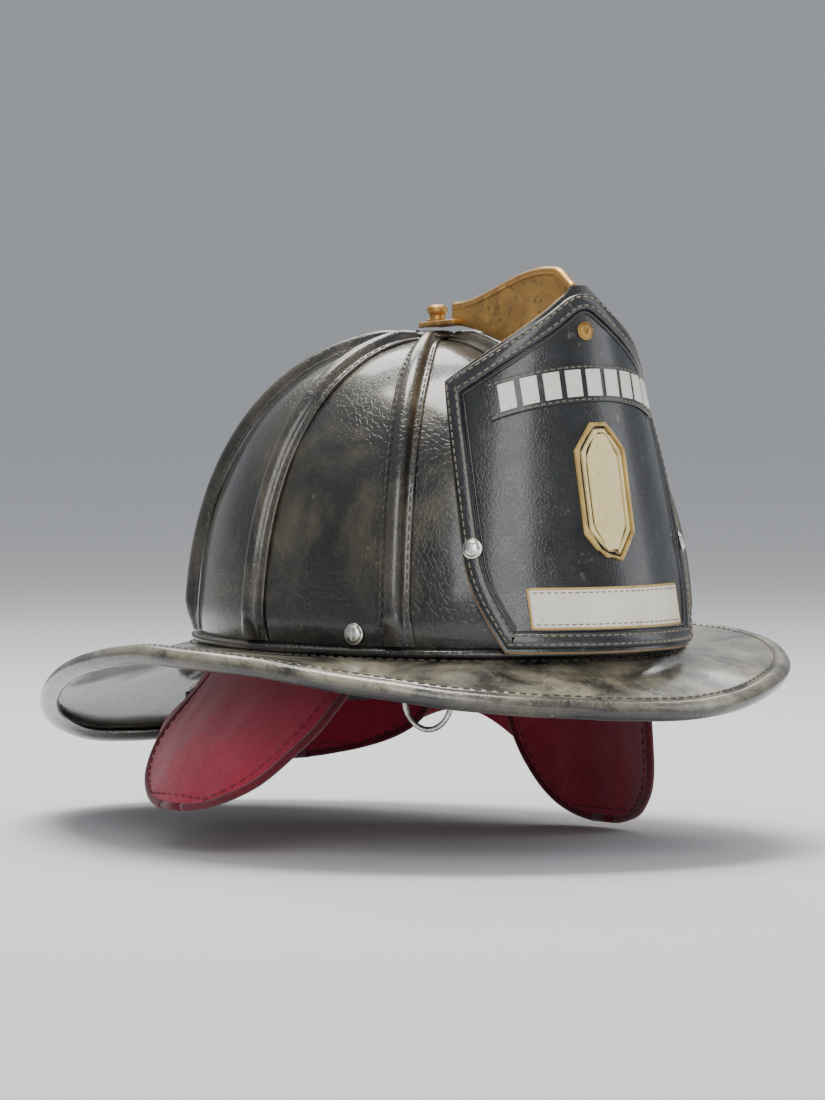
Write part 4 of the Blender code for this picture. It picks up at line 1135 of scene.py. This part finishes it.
def build_knob():
    """The knob with its grip ribs, and the pinion's teeth."""
    place = facing((0.0, NAPE_CENTRE + NAPE_RADIUS, NAPE_LEVEL), (0.0, 1.0, 0.0))

    def grip(turn):
        return 0.0007 * max(math.cos(turn * 18.0), 0.0) ** 1.5

    def teeth(turn):
        return 0.0009 * (0.5 - 0.5 * math.cos(turn * 10.0))

    profile = [(0.0, -0.0010), (0.0040, -0.0010, teeth), (0.0040, 0.0020, teeth), (0.0031, 0.0020),
               (0.0031, 0.0047), (0.0118, 0.0047), (0.0128, 0.0056, grip), (0.0130, 0.0068, grip),
               (0.0130, 0.0106, grip), (0.0126, 0.0118, grip), (0.0112, 0.0127), (0.0090, 0.0128),
               (0.0082, 0.0120), (0.0, 0.0119)]
    finished("ratchet_knob_grip", turned_mesh(profile, place, 144), PLASTIC,
             "ratchet_knob", 45, "ratchet_knob")


def build_tails():
    """The two sizing tails, with rack teeth along the edge that faces the pinion."""
    for side, word in ((1, "left"), (-1, "right")):
        count = 260
        front = []
        back = []
        for k in range(count + 1):
            degrees = -10.0 + 56.0 * k / count
            psi = math.radians(side * degrees)
            tooth = 0.0008 * (0.5 - 0.5 * math.cos(k * math.tau / 9.0)) if degrees < 26.0 else 0.0
            near = NAPE_LEVEL + side * (0.0045 + tooth)
            far = NAPE_LEVEL + side * 0.0107
            front.append([nape_point(psi, NAPE_RADIUS + 0.0012, z) for z in (near, far)])
            back.append([nape_point(psi, NAPE_RADIUS - 0.0002, z) for z in (near, far)])
        tail = "sizing_tail_" + word
        finished("sizing_tail_strip_" + word, slab_mesh(front, back), PLASTIC, tail, 40,
                 tail)


def build_ratchet():
    build_knob()
    build_tails()
    carry("ratchet_housing", PLASTIC, 0.0006)
    for word in ("left", "right"):
        carry("nape_arm_" + word, PLASTIC, 0.0005)


# ---------------------------------------------------------------- flaps

def flap_place(hinge, out, flare):
    outward = Vector(out)
    along = Vector((0.0, 0.0, 1.0)).cross(outward)
    turn = Matrix((-along, outward, (0.0, 0.0, 1.0))).transposed().to_4x4()
    return Matrix.Translation(hinge) @ turn @ Matrix.Rotation(flare, 4, "X")


class Flap:
    """A hanging flap of napped cloth: a folded double layer, bound round its edge."""

    def __init__(self, body, hinge, out, flare, half_width, length, sag, power, seed, curl):
        self.body = body
        self.hinge = Vector(hinge)
        self.out = Vector(out)
        self.flare = flare
        self.half_width = half_width
        self.length = length
        self.sag = sag
        self.power = power
        self.curl = curl
        self.seed = Vector((seed, seed * 0.7, seed * 0.3))
        self.profile = self.bent_profile()

    def bend_at(self, down):
        """How far the cloth leans out: not at all over its seam, and less again towards its tip."""
        lean = self.flare * smooth((down + 0.004) / 0.016)
        return lean * (1.0 - self.curl * smooth((down / self.length - 0.35) / 0.65))

    def bent_profile(self):
        """(outward, up) of the cloth's middle line, at every FLAP_STEP down from its top."""
        out, up, down = 0.0, 0.0, -FLAP_RISE
        rows = []
        while down < self.length + 0.01:
            rows.append((out, up))
            bend = self.bend_at(down)
            out += math.sin(bend) * FLAP_STEP
            up -= math.cos(bend) * FLAP_STEP
            down += FLAP_STEP
        middle = rows[int(FLAP_RISE / FLAP_STEP)]
        return [(row[0] - middle[0], row[1] - middle[1]) for row in rows]

    def width_at(self, down):
        share = min(max(down / self.length, 0.0), 1.0)
        return self.half_width * max((1.0 - share ** self.power) ** 0.5, 0.02)

    def spot(self, across, down, off=0.0):
        """A point of the flap; across is -1 to 1, down runs below the hinge line."""
        x = across * self.width_at(down)
        bend = self.bend_at(down)
        place = flap_place(self.hinge, self.out, 0.0)
        level = min(max((down + FLAP_RISE) / FLAP_STEP, 0.0), len(self.profile) - 1.001)
        first, second = self.profile[int(level)], self.profile[int(level) + 1]
        part = level - int(level)
        out = first[0] + (second[0] - first[0]) * part
        up = first[1] + (second[1] - first[1]) * part
        wander = noise.noise(Vector((x * 22.0, down * 16.0, 0.0)) + self.seed) * 0.0032
        wander += noise.noise(Vector((x * 60.0, down * 42.0, 3.0)) + self.seed) * 0.0009
        thick = off - self.sag * (x / self.half_width) ** 2 + wander * smooth(down / 0.03)
        return place @ Vector((x, out + thick * math.cos(bend), up + thick * math.sin(bend)))

    def normal(self, across, down):
        here = self.spot(across, down)
        side = self.spot(across + 0.02, down) - here
        drop = self.spot(across, down + 0.001) - here
        out = drop.cross(side).normalized()
        return out if out.dot(self.out) > 0.0 else -out

    def edge(self):
        """The free edge, once round from the top at one side to the top at the other."""
        downs = between(-FLAP_RISE + 0.004, self.length * 0.90, 40)
        tail = [self.length * (0.90 + 0.10 * math.sin(a)) for a in between(0.05, math.pi / 2.0, 12)]
        left = [(-1.0, down) for down in downs + tail]
        right = [(1.0, down) for down in reversed(downs + tail)]
        return left + right

    def build(self):
        name = self.body + "_cloth"
        downs = [-FLAP_RISE] + between(-FLAP_RISE + 0.002, self.length * 0.90, 40)
        downs += [self.length * (0.90 + 0.10 * math.sin(a)) for a in between(0.08, math.pi / 2.0, 12)]
        grids = ([], [])
        for down in downs:
            rows = ([], [])
            for across in between(-1.0, 1.0, 57):
                rim = min((1.0 - abs(across)) * self.width_at(down), self.length - down)
                half = 0.0008 + 0.0009 * smooth(rim / 0.006)
                quilt = 0.0003 * noise.noise(Vector((across * 3.0, down * 40.0, 9.0)) + self.seed)
                rows[0].append(self.spot(across, down, half + quilt))
                rows[1].append(self.spot(across, down, -half + quilt))
            for grid, row in zip(grids, rows):
                grid.append(row)
        cloth = finished(name, slab_mesh(*grids), FLANNEL, self.body, 75, None)
        route = []
        for across, down in self.edge():
            spot = self.spot(across * 0.985, min(down, self.length * 0.995))
            route.append((spot, self.normal(across * 0.9, down)))
        hem = tube_along(name + "_binding", route, 0.0019, FLANNEL_DARK, body=None)
        lines = []
        for layer in (0.0019, -0.0019):
            line = []
            for across, down in self.edge():
                inset = 1.0 - 0.0052 / max(self.width_at(down), 0.008)
                down = min(down, self.length - 0.0052)
                line.append((self.spot(across * max(inset, 0.05), down, layer),
                             self.normal(across * 0.9, down) * (1.0 if layer > 0.0 else -1.0)))
            lines.append(line)
        thread = stitches(name + "_stitching", lines, RED_THREAD, 0.0034, 0.0016, 0.0004,
                          None)
        for piece in (cloth, hem, thread):
            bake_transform(piece)


EAR = (EAR_HALF_WIDTH, EAR_LENGTH, EAR_SAG, 4.0)
EAR_RIGHT = Flap("ear_flap_right", (-EAR_HINGE, EAR_MIDDLE, 0.0), (-1.0, 0.0, 0.0), RIGHT_FLARE, *EAR,
                 seed=2.3, curl=0.55)
EAR_LEFT = Flap("ear_flap_left", (EAR_HINGE, EAR_MIDDLE, 0.0), (1.0, 0.0, 0.0), LEFT_FLARE, *EAR,
                seed=7.9, curl=0.9)
NECK = Flap("neck_flap", (0.0, NECK_HINGE, 0.0), (0.0, 1.0, 0.0), NECK_FLARE, NECK_HALF_WIDTH,
            NECK_LENGTH, NECK_SAG, 5.0, seed=13.1, curl=0.8)


def build_gusset(word, ear, side):
    """The cloth between an ear flap and the neck flap, running from the ear flap's edge to the neck flap's
    edge.
    """
    ear_end = -1.0 if (ear.spot(-1.0, 0.0).y > ear.spot(1.0, 0.0).y) else 1.0
    neck_end = 1.0 if NECK.spot(1.0, 0.0).x * side > 0.0 else -1.0
    grids = ([], [])
    for level in between(0.0, 1.0, 22):
        rows = ([], [])
        for share in between(0.0, 1.0, 22):
            down = -0.004 + 0.052 * level
            first = ear.spot(ear_end * 0.99, down)
            last = NECK.spot(neck_end * 0.99, down * 0.92)
            spot = first.lerp(last, share)
            slack = math.sin(share * math.pi)
            outward = Vector((side * 0.75, 0.65, 0.0))
            spot += outward * slack * (0.0035 + 0.003 * level)
            spot.z += slack * 0.012 * level * level
            for row, off in zip(rows, (0.0009, -0.0009)):
                row.append(spot + outward.normalized() * off)
        for grid, row in zip(grids, rows):
            grid.append(row)
    cloth = finished("flap_gusset_" + word, slab_mesh(*grids), FLANNEL, None, 75, None)
    start = NECK.spot(neck_end, 0.01)
    end = ear.spot(ear_end, 0.01)
    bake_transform(cloth)


# ---------------------------------------------------------------- tabs, rings and rivets

def ring_route(centre, across, down):
    """A D-shaped wire ring: its straight bar runs through centre."""
    spots = [centre + across * x for x in between(-0.0105, 0.0105, 7)]
    for turn in between(0.0, math.pi, 31)[1:-1]:
        spots.append(centre + across * 0.0105 * math.cos(turn) + down * (0.003 + 0.0135 * math.sin(turn)))
    return [(spot, across.cross(down)) for spot in spots]


def build_rings():
    for body in ("chin_ring_left", "chin_ring_right", "hanger_ring"):
        joint = JOINTS[body + "_swing"]
        across = Vector(joint["axis"]).normalized()
        route = ring_route(Vector(joint["pos_m"]), across, Vector((0.0, 0.0, -1.0)))
        tube_along(body + "_wire", route, 0.00125, BRIGHT, True, 16, body, body)


def build_tabs():
    for word in ("left", "right"):
        carry("chin_tab_" + word, BLACK, 0.0004)
        carry("chin_rivet_" + word, BRIGHT, 0.0002)
    carry("hanger_tab", BRIGHT, 0.0003)
    carry("hanger_screw", BRIGHT, 0.0002)
    carry("impact_cap", LINER)


# ---------------------------------------------------------------- stage

def build_stage():
    """A round floor that sweeps up into a wall, so that no edge of it shows."""
    level = cad_low.z - 0.004
    profile = [(0.0, level), (FLAT_FLOOR, level)]
    for turn in between(0.03, math.pi / 2, 40):
        profile.append((FLAT_FLOOR + SWEEP * math.sin(turn), level + SWEEP * (1.0 - math.cos(turn))))
    floor = plain_piece("floor", turned_mesh(profile, Matrix.Identity(4), 96))
    floor.data.shade_smooth()
    made = bpy.data.materials.new("floor_paint")
    made.use_nodes = True
    shader = made.node_tree.nodes["Principled BSDF"]
    shader.inputs["Base Color"].default_value = (0.72, 0.735, 0.76, 1.0)
    shader.inputs["Roughness"].default_value = 0.9
    shader.inputs["Specular IOR Level"].default_value = 0.1
    floor.data.materials.append(made)
    floor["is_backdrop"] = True


def area_light(name, spot, target, size, power, colour=(1.0, 1.0, 1.0)):
    data = bpy.data.lights.new(name, "AREA")
    data.shape = "RECTANGLE"
    data.size, data.size_y = size
    data.energy = power
    data.color = colour
    lamp = bpy.data.objects.new(name, data)
    lamp.location = spot
    lamp.rotation_euler = (Vector(target) - Vector(spot)).to_track_quat("-Z", "Y").to_euler()
    bpy.context.scene.collection.objects.link(lamp)


def build_lights():
    world = bpy.data.worlds.new("studio")
    world.use_nodes = True
    world.node_tree.nodes["Background"].inputs["Color"].default_value = (0.56, 0.57, 0.58, 1.0)
    world.node_tree.nodes["Background"].inputs["Strength"].default_value = 0.9
    bpy.context.scene.world = world
    middle = (0.0, 0.0, 0.05)
    area_light("top_softbox", (0.05, 0.25, 1.40), middle, (0.8, 0.6), 24.0, (1.0, 0.98, 0.94))
    area_light("back_softbox", (0.60, 0.95, 1.10), middle, (1.1, 0.6), 13.0, (1.0, 0.98, 0.94))
    area_light("front_softbox", (-1.05, -1.25, 0.85), middle, (0.9, 1.2), 13.0)
    area_light("side_softbox", (1.3, -0.9, 0.6), middle, (0.8, 1.2), 6.0, (0.95, 0.97, 1.0))
    area_light("low_fill", (-0.4, -1.6, -0.02), (0.0, 0.0, -0.04), (1.2, 0.25), 2.6)


def build_camera():
    """Looks from the front, on the wearer's right, a little above level."""
    back = Vector((math.sin(VIEW_AZIMUTH) * math.cos(VIEW_ELEVATION),
                   -math.cos(VIEW_AZIMUTH) * math.cos(VIEW_ELEVATION), math.sin(VIEW_ELEVATION)))
    low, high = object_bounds()
    across = back.cross(Vector((0.0, 0.0, -1.0))).normalized()
    target = Vector((0.0, 0.0, (low.z + high.z) / 2.0)) + across * VIEW_SHIFT
    data = bpy.data.cameras.new("camera")
    data.sensor_width = 36.0
    data.lens = data.sensor_width * VIEW_DISTANCE / VIEW_HEIGHT
    camera = bpy.data.objects.new("camera", data)
    camera.location = target + back * VIEW_DISTANCE
    camera.rotation_euler = (-back).to_track_quat("-Z", "Y").to_euler()
    bpy.context.scene.collection.objects.link(camera)
    bpy.context.scene.camera = camera


def main():
    build_crown()
    build_combs()
    build_crown_cap()
    build_welt()
    build_brim()
    build_shield()
    build_banner()
    build_plaque()
    build_name_panel()
    build_screws()
    build_holder()
    build_liner()
    build_bands()
    build_straps()
    build_ratchet()
    for flap in (EAR_RIGHT, EAR_LEFT, NECK):
        flap.build()
    build_gusset("left", EAR_LEFT, 1.0)
    build_gusset("right", EAR_RIGHT, -1.0)
    build_rings()
    build_tabs()
    build_stage()
    build_lights()
    build_camera()


main()
